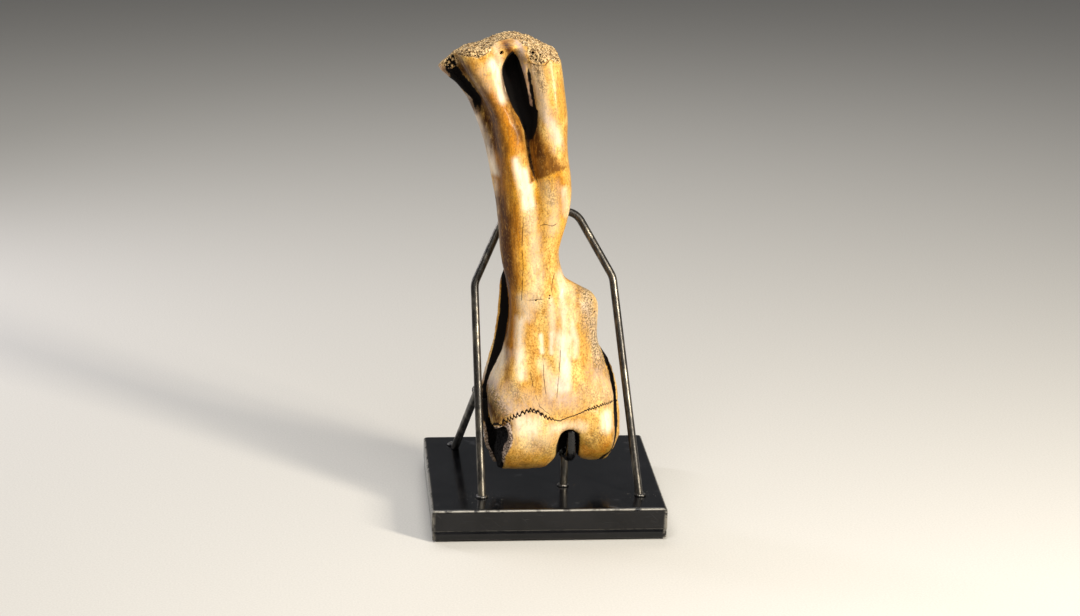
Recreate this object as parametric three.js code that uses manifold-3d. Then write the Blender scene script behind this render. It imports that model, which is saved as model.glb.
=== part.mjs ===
// A young mammoth's left humerus, fossil, standing on its black steel display stand.
//
// Millimetres, +Z up, the bone's front towards -Y. The origin is on the ground, under the middle
// of the square base. The bone is one solid. It is joined from the masses that a humerus grows
// from, in the bone's own frame, then leaned back on the stand.

import * as THREE from 'three';
import { mergeVertices } from 'three/addons/utils/BufferGeometryUtils.js';
import Module from 'manifold-3d';

const wasm = await Module();
wasm.setup();

// ---------------------------------------------------------------- driving dimensions

const TOUCH = 0.3; // clearance between two pieces that touch

// Base: a folded sheet-steel tray over a plinth, on felt.
const BASE_SIDE = 350;
const BASE_HEIGHT = 50;
const BASE_FOLD_RADIUS = 5;
const SHEET = 3;
const PLINTH_TOP = 17;
const PLINTH_INSET = 0.8;
const FELT = 3;
const FELT_INSET = 5;

// Rods of the stand.
const ROD = 12; // diameter
const ROD_SIDES = 8;
const SLEEVE = 15.6; // outer diameter of the black sleeves

// Hoop: two legs that lean back past the condyles, and an arch behind the shaft.
const HOOP_FOOT_Y = -117;
const HOOP_LEAN = 0.34; // run back for each millimetre of rise
const HOOP_FOOT_LEFT_X = -98;
const HOOP_FOOT_RIGHT_X = 140;
const HOOP_BEND_LEFT = [-106, 354];
const HOOP_BEND_RIGHT = [103, 362];
const HOOP_ARCH_LEFT = [-57, 456];
const HOOP_ARCH_RIGHT = [48, 456];
const HOOP_BEND_RADIUS = 34;
const HOOP_ARCH_RADIUS = 30;
const HOOP_STEPS = 46;
const HOOP_SLEEVE_LENGTH = 56;
const SHAFT_REST_X = -18;

// Brace behind the left leg.
const BRACE_FOOT = [-130, 130];
const BRACE_TOP_Z = 204;

// Saddle: the rod bent into a U that stands in the groove between the condyles.
const POST_FOOT = [28, -69];
const SADDLE_FRONT = [36, -99];
const SADDLE_REAR = [24, -26];
const SADDLE_Z = 103; // axis of the level run
const SADDLE_FRONT_TOP = 153.5;
const SADDLE_REAR_TOP = 138;
const SADDLE_BEND_RADIUS = 17;
const SADDLE_STEPS = 24;
const SLEEVE_STEPS = 12;
const SLEEVE_REACH = 0.34; // how far along the level run each sleeve comes
const POST_ALONG_SADDLE = 0.5;

// Weld beads.
const BEAD_RADIUS = 9.5;
const BEAD_HEIGHT = 4.5;
const JOINT_BEAD_BACK = 3; // from the joint's centre back to the collar

// Where the bone stands and how far it leans back.
const BONE_FOOT = [0, -70, 79];
const BONE_LEAN = THREE.MathUtils.degToRad(6);

// The masses of the bone, each a table of stations along it. A row is the height above the
// lowest point of the condyles, then the left, right, front and back edge of the section.
const SHAFT = [
  [34, -66, 14, -36, 34],
  [60, -82, 100, -50, 44],
  [92, -87, 104, -55, 47],
  [121, -89, 102, -54, 46],
  [150, -80, 90, -50, 44],
  [182, -67, 72, -46, 43],
  [217, -58, 54, -43, 42],
  [250, -55, 40, -42, 41],
  [291, -61, 27, -43, 41],
  [322, -68, 18, -44, 42],
  [367, -72, 22, -46, 44],
  [406, -76, 32, -45, 46],
  [449, -84, 34, -37, 50],
  [494, -93, 30, -27, 54],
  [521, -102, 28, -21, 58],
  [554, -115, 28, -16, 64],
  [581, -134, 24, -13, 70],
  [600, -158, 20, -10, 74],
  [624, -172, 17, -8, 76],
  [680, -190, 12, -8, 80],
];
const MEDIAL_COLUMN = [
  [310, -58, -12, -34, 20],
  [350, -64, -12, -44, 18],
  [400, -69, -12, -50, 14],
  [443, -72, -18, -52, 12],
  [480, -74, -31, -53, 12],
  [505, -78, -33, -54, 13],
  [536, -86, -42, -55, 14],
  [558, -96, -56, -56, 15],
  [589, -114, -66, -58, 18],
  [613, -131, -68, -58, 20],
  [680, -156, -62, -60, 24],
];
const LATERAL_COLUMN = [
  [262, -16, 22, -30, 16],
  [300, -24, 18, -42, 18],
  [338, -30, 17, -47, 18],
  [366, -30, 25, -50, 18],
  [393, -26, 32, -53, 18],
  [432, -22, 35, -57, 20],
  [471, -26, 30, -59, 22],
  [504, -27, 28, -60, 24],
  [537, -23, 29, -61, 26],
  [581, -27, 23, -61, 30],
  [618, -32, 18, -59, 34],
  [680, -38, 4, -54, 36],
];

// Trochlea: a spool turned about a cross axis. A row is the place along X and the radius.
const TROCHLEA_Y = 2;
const TROCHLEA_HEIGHT = 60;
const TROCHLEA = [
  [-86, 30], [-84, 44], [-76, 53], [-60, 58.5], [-40, 60], [-18, 59.5], [-4, 57.5], [6, 52],
  [14, 43], [20, 34], [26, 28], [34, 26], [42, 29], [50, 39], [60, 46], [74, 48], [88, 44],
  [98, 36], [104, 26], [106, 16],
];

// Fronts of the condyles: they fill the spool's waist in front, down to the notch between them.
const MEDIAL_CONDYLE = [
  [6, -54, -6, -20, 4],
  [12, -60, 3, -31, 4],
  [20, -62, 9, -40, 4],
  [30, -62, 13, -48, 4],
  [44, -62, 16, -54, 4],
  [60, -62, 34, -56, 4],
  [76, -60, 60, -56, 4],
  [96, -56, 70, -54, 4],
];
const LATERAL_CONDYLE = [
  [15, 56, 84, -12, 4],
  [20, 48, 92, -22, 4],
  [30, 43, 98, -34, 4],
  [44, 41, 102, -42, 4],
  [60, 26, 100, -47, 4],
  [76, 0, 96, -50, 4],
  [96, -10, 88, -52, 4],
];

// Low strip inside the groove between the two columns, along its outer wall.
const GROOVE_STRIP = [
  [528, -27, -16, -20, 6],
  [545, -32, -14, -30, 6],
  [570, -38, -14, -37, 6],
  [600, -44, -16, -42, 6],
  [625, -49, -18, -45, 6],
  [680, -54, -24, -50, 6],
];

// Bone that closes the top of the groove from both sides, as a pointed arch.
const GROOVE_TOP_INNER = [
  [598, -96, -72, -48, 14],
  [608, -94, -68, -51, 16],
  [618, -92, -63, -53, 18],
  [628, -90, -56, -54, 20],
  [640, -88, -44, -54, 22],
  [680, -80, -24, -52, 24],
];
const GROOVE_TOP_OUTER = [
  [592, -28, -6, -48, 14],
  [604, -33, -4, -50, 16],
  [614, -38, -2, -51, 18],
  [624, -47, 0, -52, 20],
  [636, -56, 0, -52, 22],
  [680, -64, -4, -50, 24],
];

// Ridges that stand out at the sides of the lower half.
const SUPINATOR_CREST = [
  [100, 40, 84, -30, 18],
  [125, 6, 100, -44, 24],
  [143, -6, 94, -46, 24],
  [175, -12, 84, -45, 24],
  [205, -14, 77, -44, 24],
  [232, -14, 77, -43, 24],
  [250, -12, 78, -41, 24],
  [262, -10, 75, -38, 24],
  [270, -8, 69, -35, 23],
  [277, -6, 59, -32, 22],
  [284, -6, 43, -30, 20],
  [292, -6, 27, -26, 18],
  [302, -6, 14, -14, 14],
];
const MEDIAL_RIDGE = [
  [4, -76, -44, 20, 34],
  [20, -86, -34, 14, 42],
  [56, -91, -24, 14, 48],
  [100, -93, -20, 16, 48],
  [130, -93, -20, 18, 46],
  [161, -85, -20, 18, 44],
  [197, -75, -20, 19, 43],
  [241, -68, -20, 20, 43],
  [284, -67, -30, 22, 43],
  [310, -60, -36, 26, 40],
];
const LATERAL_RIDGE = [
  [8, 70, 96, 18, 30],
  [22, 60, 107, 12, 38],
  [48, 50, 114, 10, 42],
  [82, 50, 115, 10, 42],
  [116, 40, 110, 10, 40],
  [150, 40, 98, 12, 38],
  [184, 36, 84, 14, 36],
  [200, 34, 72, 18, 32],
];

// Channels between those ridges and the front of the bone.
const MEDIAL_CHANNEL = [
  [66, -104, -84, -2, 15],
  [100, -104, -80, -4, 17],
  [130, -104, -80, -4, 18],
  [161, -98, -68, -3, 19],
  [197, -86, -56, -2, 20],
  [241, -80, -48, 0, 21],
  [284, -82, -54, 4, 22],
  [312, -84, -68, 8, 22],
];
const LATERAL_CHANNEL = [
  [4, 90, 124, -4, 12],
  [30, 97, 126, -6, 11],
  [82, 100, 128, -7, 11],
  [116, 99, 124, -6, 11],
  [150, 90, 116, -3, 12],
  [176, 86, 106, 2, 13],
];

// Valley between the inner column and the bone's thin inner edge.
const MEDIAL_VALLEY = [
  [486, -92, -76, -60, -14],
  [510, -97, -80, -60, -6],
  [536, -106, -88, -60, 2],
  [560, -119, -97, -60, 7],
  [586, -137, -111, -60, 10],
  [610, -153, -126, -60, 12],
  [680, -190, -158, -60, 14],
];

// Growth plate on top: a low gable that also falls away to the front and back.
const PLATE_PEAK = [-52, 24, 655.5];
const PLATE_SLOPE = 0.545;
const PLATE_ROUND = 12;
const PLATE_FALL = 0.05; // forward fall at the peak
const PLATE_TWIST = 0.001; // how that fall grows towards the outer side
const PLATE_CROWN = 0.0008;
const PLATE_LIP = { x: -128, height: 11, width: 25 }; // rounded rise at the inner end

// Hollows and losses.
const FRONT_NOTCH = { left: 17, right: 46, top: 69, front: -90, back: -22 };
const REAR_NOTCH = { left: 8, right: 38, top: 80, front: 26, back: 90 };
const OLECRANON_FOSSA = { centre: [18, 58, 112], size: [34, 24, 46] };
const BREAK = { centre: [-103, -33, 24], size: [88, 100, 98], roughness: 3 };

// ---------------------------------------------------------------- shape helpers

function toSolid(geometry) {
  const plain = geometry.clone();
  plain.deleteAttribute('normal');
  plain.deleteAttribute('uv');
  const merged = mergeVertices(plain, 1e-3);
  return new wasm.Manifold(new wasm.Mesh({
    numProp: 3,
    vertProperties: new Float32Array(merged.attributes.position.array),
    triVerts: new Uint32Array(merged.index.array),
  }));
}

function toGeometry(solid) {
  const mesh = solid.getMesh();
  const geometry = new THREE.BufferGeometry();
  geometry.setAttribute('position', new THREE.BufferAttribute(mesh.vertProperties, 3));
  geometry.setIndex(new THREE.BufferAttribute(mesh.triVerts, 1));
  geometry.computeVertexNormals();
  return geometry;
}

// Closed skin through rings of points, lowest ring first, each ring anticlockwise from above.
function loft(rings) {
  const around = rings[0].length;
  const points = rings.flat();
  const faces = [];
  for (let level = 0; level + 1 < rings.length; level++) {
    for (let step = 0; step < around; step++) {
      const a = level * around + step;
      const b = level * around + (step + 1) % around;
      faces.push(a, b, b + around, a, b + around, a + around);
    }
  }
  const bottom = points.push(centreOf(rings[0])) - 1;
  const top = points.push(centreOf(rings.at(-1))) - 1;
  const last = (rings.length - 1) * around;
  for (let step = 0; step < around; step++) {
    const next = (step + 1) % around;
    faces.push(bottom, next, step, top, last + step, last + next);
  }
  const geometry = new THREE.BufferGeometry().setFromPoints(points);
  geometry.setIndex(faces);
  return geometry;
}

function centreOf(ring) {
  const sum = ring.reduce((total, point) => total.add(point), new THREE.Vector3());
  return sum.divideScalar(ring.length);
}

// Egg-shaped sections between the edges that a table of stations gives.
function limb(stations, { levels, around, power }) {
  const heights = Float32Array.from(stations, (row) => row[0]);
  const edges = Float32Array.from(stations.flatMap((row) => row.slice(1)));
  const edgesAt = new THREE.CubicInterpolant(heights, edges, 4, new Float32Array(4));
  const squared = (value) => Math.sign(value) * Math.abs(value) ** (2 / power);
  const rings = [];
  for (let level = 0; level <= levels; level++) {
    const height = THREE.MathUtils.lerp(heights[0], heights.at(-1), level / levels);
    const [left, right, front, back] = edgesAt.evaluate(height);
    const ring = [];
    for (let step = 0; step < around; step++) {
      const angle = (2 * Math.PI * step) / around;
      const across = squared(Math.cos(angle));
      const deep = squared(Math.sin(angle));
      const middle = (front + back) / 2;
      ring.push(new THREE.Vector3(
        (left + right) / 2 + (across * (right - left)) / 2,
        middle + (deep * (back - front)) / 2,
        height,
      ));
    }
    rings.push(ring);
  }
  return loft(rings);
}

function ellipsoid({ centre, size }) {
  const geometry = new THREE.SphereGeometry(1, 14, 10);
  geometry.scale(...size);
  geometry.translate(...centre);
  return geometry;
}

// Upright slot with a round top, open below.
function archSlot({ left, right, top, front, back }) {
  const radius = (right - left) / 2;
  const shape = new THREE.Shape();
  shape.moveTo(left, -40);
  shape.lineTo(right, -40);
  shape.lineTo(right, top - radius);
  shape.absarc(left + radius, top - radius, radius, 0, Math.PI, false);
  const geometry = new THREE.ExtrudeGeometry(shape, {
    depth: back - front,
    bevelEnabled: false,
    curveSegments: 6,
  });
  geometry.rotateX(Math.PI / 2);
  geometry.translate(0, back, 0);
  return geometry;
}

// Straight runs between corners, with a round bend at each corner between the ends.
function bentPath(corners, radii) {
  const path = new THREE.CurvePath();
  let start = corners[0];
  for (let index = 1; index + 1 < corners.length; index++) {
    const corner = corners[index];
    const inward = corners[index - 1].clone().sub(corner).normalize();
    const onward = corners[index + 1].clone().sub(corner).normalize();
    const setback = radii[index - 1] / Math.tan(inward.angleTo(onward) / 2);
    const enter = inward.multiplyScalar(setback).add(corner);
    const leave = onward.multiplyScalar(setback).add(corner);
    path.add(new THREE.LineCurve3(start, enter));
    path.add(new THREE.QuadraticBezierCurve3(enter, corner, leave));
    start = leave;
  }
  path.add(new THREE.LineCurve3(start, corners.at(-1)));
  return path;
}

function rod(path, diameter, steps) {
  const shape = new THREE.Shape().absarc(0, 0, diameter / 2, 0, 2 * Math.PI, false);
  return new THREE.ExtrudeGeometry(shape, {
    steps,
    curveSegments: ROD_SIDES / 2,
    extrudePath: path,
  });
}

function block(minimum, maximum) {
  const size = new THREE.Vector3().subVectors(maximum, minimum);
  const geometry = new THREE.BoxGeometry(size.x, size.y, size.z);
  const centre = new THREE.Vector3().addVectors(minimum, maximum).multiplyScalar(0.5);
  geometry.translate(centre.x, centre.y, centre.z);
  return geometry;
}

function squareBlock(side, bottom, top) {
  const corner = side / 2;
  return block(new THREE.Vector3(-corner, -corner, bottom), new THREE.Vector3(corner, corner, top));
}

// ---------------------------------------------------------------- the bone

// Everything above the growth plate: a box whose underside is moved to the plate's surface.
function abovePlate() {
  const [peakX, peakY, peakZ] = PLATE_PEAK;
  const geometry = new THREE.BoxGeometry(320, 260, 160, 20, 7, 1);
  geometry.translate(peakX - 20, peakY, peakZ + 80);
  const position = geometry.attributes.position;
  for (let index = 0; index < position.count; index++) {
    if (position.getZ(index) > peakZ + 1) continue;
    const across = PLATE_SLOPE * (position.getX(index) - peakX);
    const deep = position.getY(index) - peakY;
    const gable = Math.hypot(across, PLATE_ROUND) - PLATE_ROUND;
    const forward = PLATE_FALL + PLATE_TWIST * (position.getX(index) - peakX);
    const fall = PLATE_CROWN * deep * deep - forward * deep;
    const alongLip = (position.getX(index) - PLATE_LIP.x) / PLATE_LIP.width;
    const lip = PLATE_LIP.height * Math.exp(-alongLip * alongLip);
    position.setZ(index, peakZ + lip - gable - fall);
  }
  return geometry;
}

// The missing inner corner of the condyles: a block with an uneven, slanting face.
function brokenCorner() {
  const { centre, size, roughness } = BREAK;
  const geometry = new THREE.BoxGeometry(...size, 5, 5, 5);
  const position = geometry.attributes.position;
  for (let index = 0; index < position.count; index++) {
    const [x, y, z] = [position.getX(index), position.getY(index), position.getZ(index)];
    const uneven = roughness * Math.sin(0.21 * x + 0.37 * y) * Math.cos(0.29 * z - 0.17 * y);
    position.setXYZ(index, x + uneven, y - uneven, z + uneven);
  }
  geometry.applyMatrix4(new THREE.Matrix4().makeRotationY(-0.16));
  geometry.applyMatrix4(new THREE.Matrix4().makeRotationZ(0.2));
  geometry.translate(...centre);
  return geometry;
}

function trochlea() {
  const profile = TROCHLEA.map(([x, radius]) => new THREE.Vector2(radius, x));
  profile.unshift(new THREE.Vector2(0, TROCHLEA[0][0]));
  profile.push(new THREE.Vector2(0, TROCHLEA.at(-1)[0]));
  const geometry = new THREE.LatheGeometry(profile, 24);
  geometry.rotateZ(-Math.PI / 2);
  geometry.translate(0, TROCHLEA_Y, TROCHLEA_HEIGHT);
  return geometry;
}

function humerusSolid() {
  const masses = [
    limb(MEDIAL_COLUMN, { levels: 16, around: 16, power: 2.3 }),
    limb(LATERAL_COLUMN, { levels: 18, around: 16, power: 2.3 }),
    limb(SUPINATOR_CREST, { levels: 20, around: 14, power: 2.1 }),
    limb(MEDIAL_RIDGE, { levels: 14, around: 12, power: 2.4 }),
    limb(LATERAL_RIDGE, { levels: 12, around: 12, power: 2.4 }),
    limb(MEDIAL_CONDYLE, { levels: 9, around: 16, power: 3.2 }),
    limb(LATERAL_CONDYLE, { levels: 8, around: 16, power: 3.2 }),
    limb(GROOVE_STRIP, { levels: 7, around: 8, power: 2.2 }),
    limb(GROOVE_TOP_INNER, { levels: 7, around: 12, power: 2.8 }),
    limb(GROOVE_TOP_OUTER, { levels: 7, around: 12, power: 2.8 }),
    trochlea(),
  ];
  const losses = [
    limb(MEDIAL_CHANNEL, { levels: 14, around: 10, power: 2 }),
    limb(LATERAL_CHANNEL, { levels: 10, around: 10, power: 2 }),
    limb(MEDIAL_VALLEY, { levels: 10, around: 10, power: 2 }),
    archSlot(FRONT_NOTCH),
    archSlot(REAR_NOTCH),
    ellipsoid(OLECRANON_FOSSA),
    brokenCorner(),
    abovePlate(),
  ];
  let bone = toSolid(limb(SHAFT, { levels: 32, around: 32, power: 2.4 }));
  for (const mass of masses) bone = bone.add(toSolid(mass));
  for (const loss of losses) bone = bone.subtract(toSolid(loss));
  return bone
    .rotate([-THREE.MathUtils.radToDeg(BONE_LEAN), 0, 0])
    .translate(BONE_FOOT);
}

// ---------------------------------------------------------------- the stand

const UNDER = 12; // how far a leg's axis is drawn below the base top before its foot is cut flat
const FOOT_Z = BASE_HEIGHT + TOUCH;

const onHoop = (x, z) => new THREE.Vector3(x, HOOP_FOOT_Y + HOOP_LEAN * (z - BASE_HEIGHT), z);

const hoopPath = bentPath([
  onHoop(HOOP_FOOT_LEFT_X, BASE_HEIGHT - UNDER),
  onHoop(...HOOP_BEND_LEFT),
  onHoop(...HOOP_ARCH_LEFT),
  onHoop(...HOOP_ARCH_RIGHT),
  onHoop(...HOOP_BEND_RIGHT),
  onHoop(HOOP_FOOT_RIGHT_X, BASE_HEIGHT - UNDER),
], [HOOP_BEND_RADIUS, HOOP_ARCH_RADIUS, HOOP_ARCH_RADIUS, HOOP_BEND_RADIUS]);

// The middle of the arch, where the shaft leans: a straight run short of both arch bends.
const hoopRest = new THREE.LineCurve3(
  onHoop(SHAFT_REST_X - HOOP_SLEEVE_LENGTH / 2, archHeight(SHAFT_REST_X - HOOP_SLEEVE_LENGTH / 2)),
  onHoop(SHAFT_REST_X + HOOP_SLEEVE_LENGTH / 2, archHeight(SHAFT_REST_X + HOOP_SLEEVE_LENGTH / 2)),
);

function archHeight(x) {
  const [leftX, leftZ] = HOOP_ARCH_LEFT;
  const [rightX, rightZ] = HOOP_ARCH_RIGHT;
  return THREE.MathUtils.mapLinear(x, leftX, rightX, leftZ, rightZ);
}

const saddleFrontTop = new THREE.Vector3(...SADDLE_FRONT, SADDLE_FRONT_TOP - SLEEVE / 2);
const saddleFront = new THREE.Vector3(...SADDLE_FRONT, SADDLE_Z);
const saddleRear = new THREE.Vector3(...SADDLE_REAR, SADDLE_Z);
const saddleRearTop = new THREE.Vector3(...SADDLE_REAR, SADDLE_REAR_TOP - SLEEVE / 2);

// The saddle rod stops short of its sleeves' closed ends by the given shortfall.
function saddlePath(shortfall) {
  const down = new THREE.Vector3(0, 0, -shortfall);
  return bentPath(
    [saddleFrontTop.clone().add(down), saddleFront, saddleRear, saddleRearTop.clone().add(down)],
    [SADDLE_BEND_RADIUS, SADDLE_BEND_RADIUS],
  );
}

const postFoot = new THREE.Vector3(...POST_FOOT, BASE_HEIGHT - UNDER);
const postTop = new THREE.Vector3().lerpVectors(saddleFront, saddleRear, POST_ALONG_SADDLE);
const bracePath = new THREE.LineCurve3(
  new THREE.Vector3(...BRACE_FOOT, BASE_HEIGHT - UNDER),
  onHoop(hoopLeftLegX(BRACE_TOP_Z), BRACE_TOP_Z),
);
const postPath = new THREE.LineCurve3(postFoot, postTop);

function hoopLeftLegX(z) {
  const [bendX, bendZ] = HOOP_BEND_LEFT;
  return THREE.MathUtils.mapLinear(z, BASE_HEIGHT - UNDER, bendZ, HOOP_FOOT_LEFT_X, bendX);
}

const clearRod = (path, steps) => toSolid(rod(path, ROD + 4 * TOUCH, steps));
const belowFeet = toSolid(squareBlock(2 * BASE_SIDE, -BASE_SIDE, FOOT_Z));
const hoopClear = clearRod(hoopPath, HOOP_STEPS);
const saddleClear = clearRod(saddlePath(0), SADDLE_STEPS);
const braceClear = clearRod(bracePath, 1);
const postClear = clearRod(postPath, 1);

// Folded tray: the same round-shouldered outline run both ways, hollow from below.
function trayOutline() {
  const half = BASE_SIDE / 2;
  const bottom = PLINTH_TOP + TOUCH;
  const shoulder = half - BASE_FOLD_RADIUS;
  const shape = new THREE.Shape();
  shape.moveTo(-half, bottom);
  shape.lineTo(half, bottom);
  shape.lineTo(half, BASE_HEIGHT - BASE_FOLD_RADIUS);
  shape.absarc(shoulder, BASE_HEIGHT - BASE_FOLD_RADIUS, BASE_FOLD_RADIUS, 0, Math.PI / 2, false);
  shape.absarc(
    -shoulder, BASE_HEIGHT - BASE_FOLD_RADIUS, BASE_FOLD_RADIUS, Math.PI / 2, Math.PI, false,
  );
  return shape;
}

function baseTray() {
  const frontToBack = new THREE.ExtrudeGeometry(trayOutline(), {
    depth: BASE_SIDE,
    bevelEnabled: false,
    curveSegments: 3,
  });
  frontToBack.translate(0, 0, -BASE_SIDE / 2);
  frontToBack.rotateX(Math.PI / 2);
  const sideToSide = frontToBack.clone().rotateZ(Math.PI / 2);
  const hollow = squareBlock(BASE_SIDE - 2 * SHEET, 0, BASE_HEIGHT - SHEET);
  return toSolid(frontToBack).intersect(toSolid(sideToSide)).subtract(toSolid(hollow));
}

// Ball on the end of a sleeve, upright.
function dome(tip, diameter) {
  const ball = new THREE.SphereGeometry(diameter / 2, ROD_SIDES, 6);
  ball.rotateX(Math.PI / 2);
  ball.translate(tip.x, tip.y, tip.z);
  return toSolid(ball);
}

// Black sleeve with a domed, closed end, drawn over the rod from its tip inwards.
function domedSleeve(tip, bend, onward) {
  const path = bentPath([tip, bend, onward], [SADDLE_BEND_RADIUS]);
  return toSolid(rod(path, SLEEVE, SLEEVE_STEPS)).add(dome(tip, SLEEVE)).subtract(saddleClear);
}

// Collar of weld round a rod's foot.
function footBead(x, y) {
  const bead = new THREE.LatheGeometry([
    new THREE.Vector2(0, 0),
    new THREE.Vector2(BEAD_RADIUS, 0),
    new THREE.Vector2(BEAD_RADIUS - 1, 2),
    new THREE.Vector2(ROD / 2 + 1.5, BEAD_HEIGHT),
    new THREE.Vector2(0, BEAD_HEIGHT),
  ], 14);
  bead.rotateX(Math.PI / 2);
  bead.translate(x, y, FOOT_Z);
  return toSolid(bead);
}

// Collar of weld round the end of a rod that meets another rod.
function jointBead(path) {
  const end = path.getPoint(1);
  const back = path.getTangent(1).negate();
  const from = end.clone().addScaledVector(back, JOINT_BEAD_BACK);
  const to = from.clone().addScaledVector(back, BEAD_HEIGHT);
  return toSolid(rod(new THREE.LineCurve3(from, to), 2 * BEAD_RADIUS - 1, 1));
}

// ---------------------------------------------------------------- the assembly

const group = new THREE.Group();

function place(name, solid, { color, roughness, metalness }) {
  const material = new THREE.MeshStandardMaterial({ color, roughness, metalness });
  const mesh = new THREE.Mesh(toGeometry(solid), material);
  mesh.name = name;
  group.add(mesh);
}

const FOSSIL_BONE = { color: '#c08a3e', roughness: 0.38, metalness: 0 };
const BLACK_LACQUER = { color: '#0c0d0e', roughness: 0.22, metalness: 0.1 };
const DARK_STEEL = { color: '#2b2c2e', roughness: 0.34, metalness: 0.9 };
const BLACK_SLEEVE = { color: '#08080a', roughness: 0.28, metalness: 0 };
const WELD_STEEL = { color: '#4a4b4e', roughness: 0.42, metalness: 0.9 };
const BLACK_FELT = { color: '#141414', roughness: 0.95, metalness: 0 };

const plinthSide = BASE_SIDE - 2 * PLINTH_INSET;
const feltSide = BASE_SIDE - 2 * FELT_INSET;
place('base_tray', baseTray(), BLACK_LACQUER);
place('base_plinth', toSolid(squareBlock(plinthSide, FELT + TOUCH, PLINTH_TOP)), BLACK_LACQUER);
place('base_felt', toSolid(squareBlock(feltSide, 0, FELT)), BLACK_FELT);

const hoop = toSolid(rod(hoopPath, ROD, HOOP_STEPS)).subtract(belowFeet);
const saddle = toSolid(rod(saddlePath(TOUCH), ROD, SADDLE_STEPS));
const brace = toSolid(rod(bracePath, ROD, 1)).subtract(belowFeet).subtract(hoopClear);
const post = toSolid(rod(postPath, ROD, 1)).subtract(belowFeet).subtract(saddleClear);
place('hoop', hoop, DARK_STEEL);
place('rear_brace', brace, DARK_STEEL);
place('centre_post', post, DARK_STEEL);
place('saddle', saddle, DARK_STEEL);

const bareAhead = new THREE.Vector3().lerpVectors(saddleFront, saddleRear, SLEEVE_REACH);
const bareBehind = new THREE.Vector3().lerpVectors(saddleRear, saddleFront, SLEEVE_REACH);
const hoopSleeve = toSolid(rod(hoopRest, SLEEVE, 1)).subtract(hoopClear);
place('saddle_sleeve_front', domedSleeve(saddleFrontTop, saddleFront, bareAhead), BLACK_SLEEVE);
place('saddle_sleeve_rear', domedSleeve(saddleRearTop, saddleRear, bareBehind), BLACK_SLEEVE);
place('hoop_sleeve', hoopSleeve, BLACK_SLEEVE);

const footY = HOOP_FOOT_Y;
const weldBeads = {
  weld_left_leg: footBead(HOOP_FOOT_LEFT_X, footY).subtract(hoopClear),
  weld_right_leg: footBead(HOOP_FOOT_RIGHT_X, footY).subtract(hoopClear),
  weld_brace_foot: footBead(...BRACE_FOOT).subtract(braceClear),
  weld_brace_top: jointBead(bracePath).subtract(braceClear).subtract(hoopClear),
  weld_post_foot: footBead(...POST_FOOT).subtract(postClear),
  weld_saddle: jointBead(postPath).subtract(postClear).subtract(saddleClear),
};
for (const [name, bead] of Object.entries(weldBeads)) place(name, bead, WELD_STEEL);

// The bone rests in the saddle and leans on the arch, so it is eased round the sleeves.
const EASED = SLEEVE + 6 * TOUCH;
const bone = humerusSolid()
  .subtract(toSolid(rod(saddlePath(0), EASED, SADDLE_STEPS)))
  .subtract(dome(saddleFrontTop, EASED))
  .subtract(dome(saddleRearTop, EASED))
  .subtract(toSolid(rod(hoopRest, EASED, 1)));
place('humerus', bone, FOSSIL_BONE);

export default group;
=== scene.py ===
# %% [markdown]
# # A fossil mammoth humerus on its stand
# The bone is a young mammoth's left upper arm bone, turned to stone, scrubbed and varnished.
# It stands on its lower joint end, held by steel rods on a black enamelled base. The measured
# model is already made, and it is loaded here as a fixed frame. Each piece below is a finer
# skin that takes the place of one measured piece, in the same position and at the same size.

import math
from itertools import product

import bmesh
import bpy
import numpy as np
from mathutils import Matrix, Vector


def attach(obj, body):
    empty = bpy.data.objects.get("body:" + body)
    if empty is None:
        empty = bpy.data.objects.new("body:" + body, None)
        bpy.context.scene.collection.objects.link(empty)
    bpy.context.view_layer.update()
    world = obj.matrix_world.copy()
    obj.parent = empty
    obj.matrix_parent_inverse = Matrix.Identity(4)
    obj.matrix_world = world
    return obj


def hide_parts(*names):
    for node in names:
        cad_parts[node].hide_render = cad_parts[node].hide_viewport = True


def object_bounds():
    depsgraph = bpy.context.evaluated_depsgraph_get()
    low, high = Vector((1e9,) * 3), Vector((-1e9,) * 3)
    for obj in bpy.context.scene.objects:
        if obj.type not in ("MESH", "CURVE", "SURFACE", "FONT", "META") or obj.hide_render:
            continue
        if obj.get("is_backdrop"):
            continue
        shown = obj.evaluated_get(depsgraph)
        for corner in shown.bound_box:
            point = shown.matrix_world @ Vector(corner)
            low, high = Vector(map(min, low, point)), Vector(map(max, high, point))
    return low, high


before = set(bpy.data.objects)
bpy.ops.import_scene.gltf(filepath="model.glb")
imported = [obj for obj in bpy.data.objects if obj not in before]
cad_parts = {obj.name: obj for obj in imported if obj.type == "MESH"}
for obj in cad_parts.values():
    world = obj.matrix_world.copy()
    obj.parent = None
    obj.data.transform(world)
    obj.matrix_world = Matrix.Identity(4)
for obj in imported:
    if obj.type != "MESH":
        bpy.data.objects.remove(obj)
cad_box = [list(corner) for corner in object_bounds()]
MM = 0.001
print("pieces in the frame:", ", ".join(sorted(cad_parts)))

# %% [markdown]
# ## Camera
# A long lens from four metres away keeps the bone's sides nearly parallel. The camera looks down
# by about 15 degrees, so the top of the base and the growth plate on top of the bone both show.

# %% Camera
CAMERA_PLACE = Vector((-0.32299, -3.85627, 1.38743))
CAMERA_YAW = math.radians(4.705)
CAMERA_PITCH = math.radians(15.547)
CAMERA_ROLL = math.radians(0.883)
LENS_MM = 88.33
SENSOR_MM = 36.0

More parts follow.
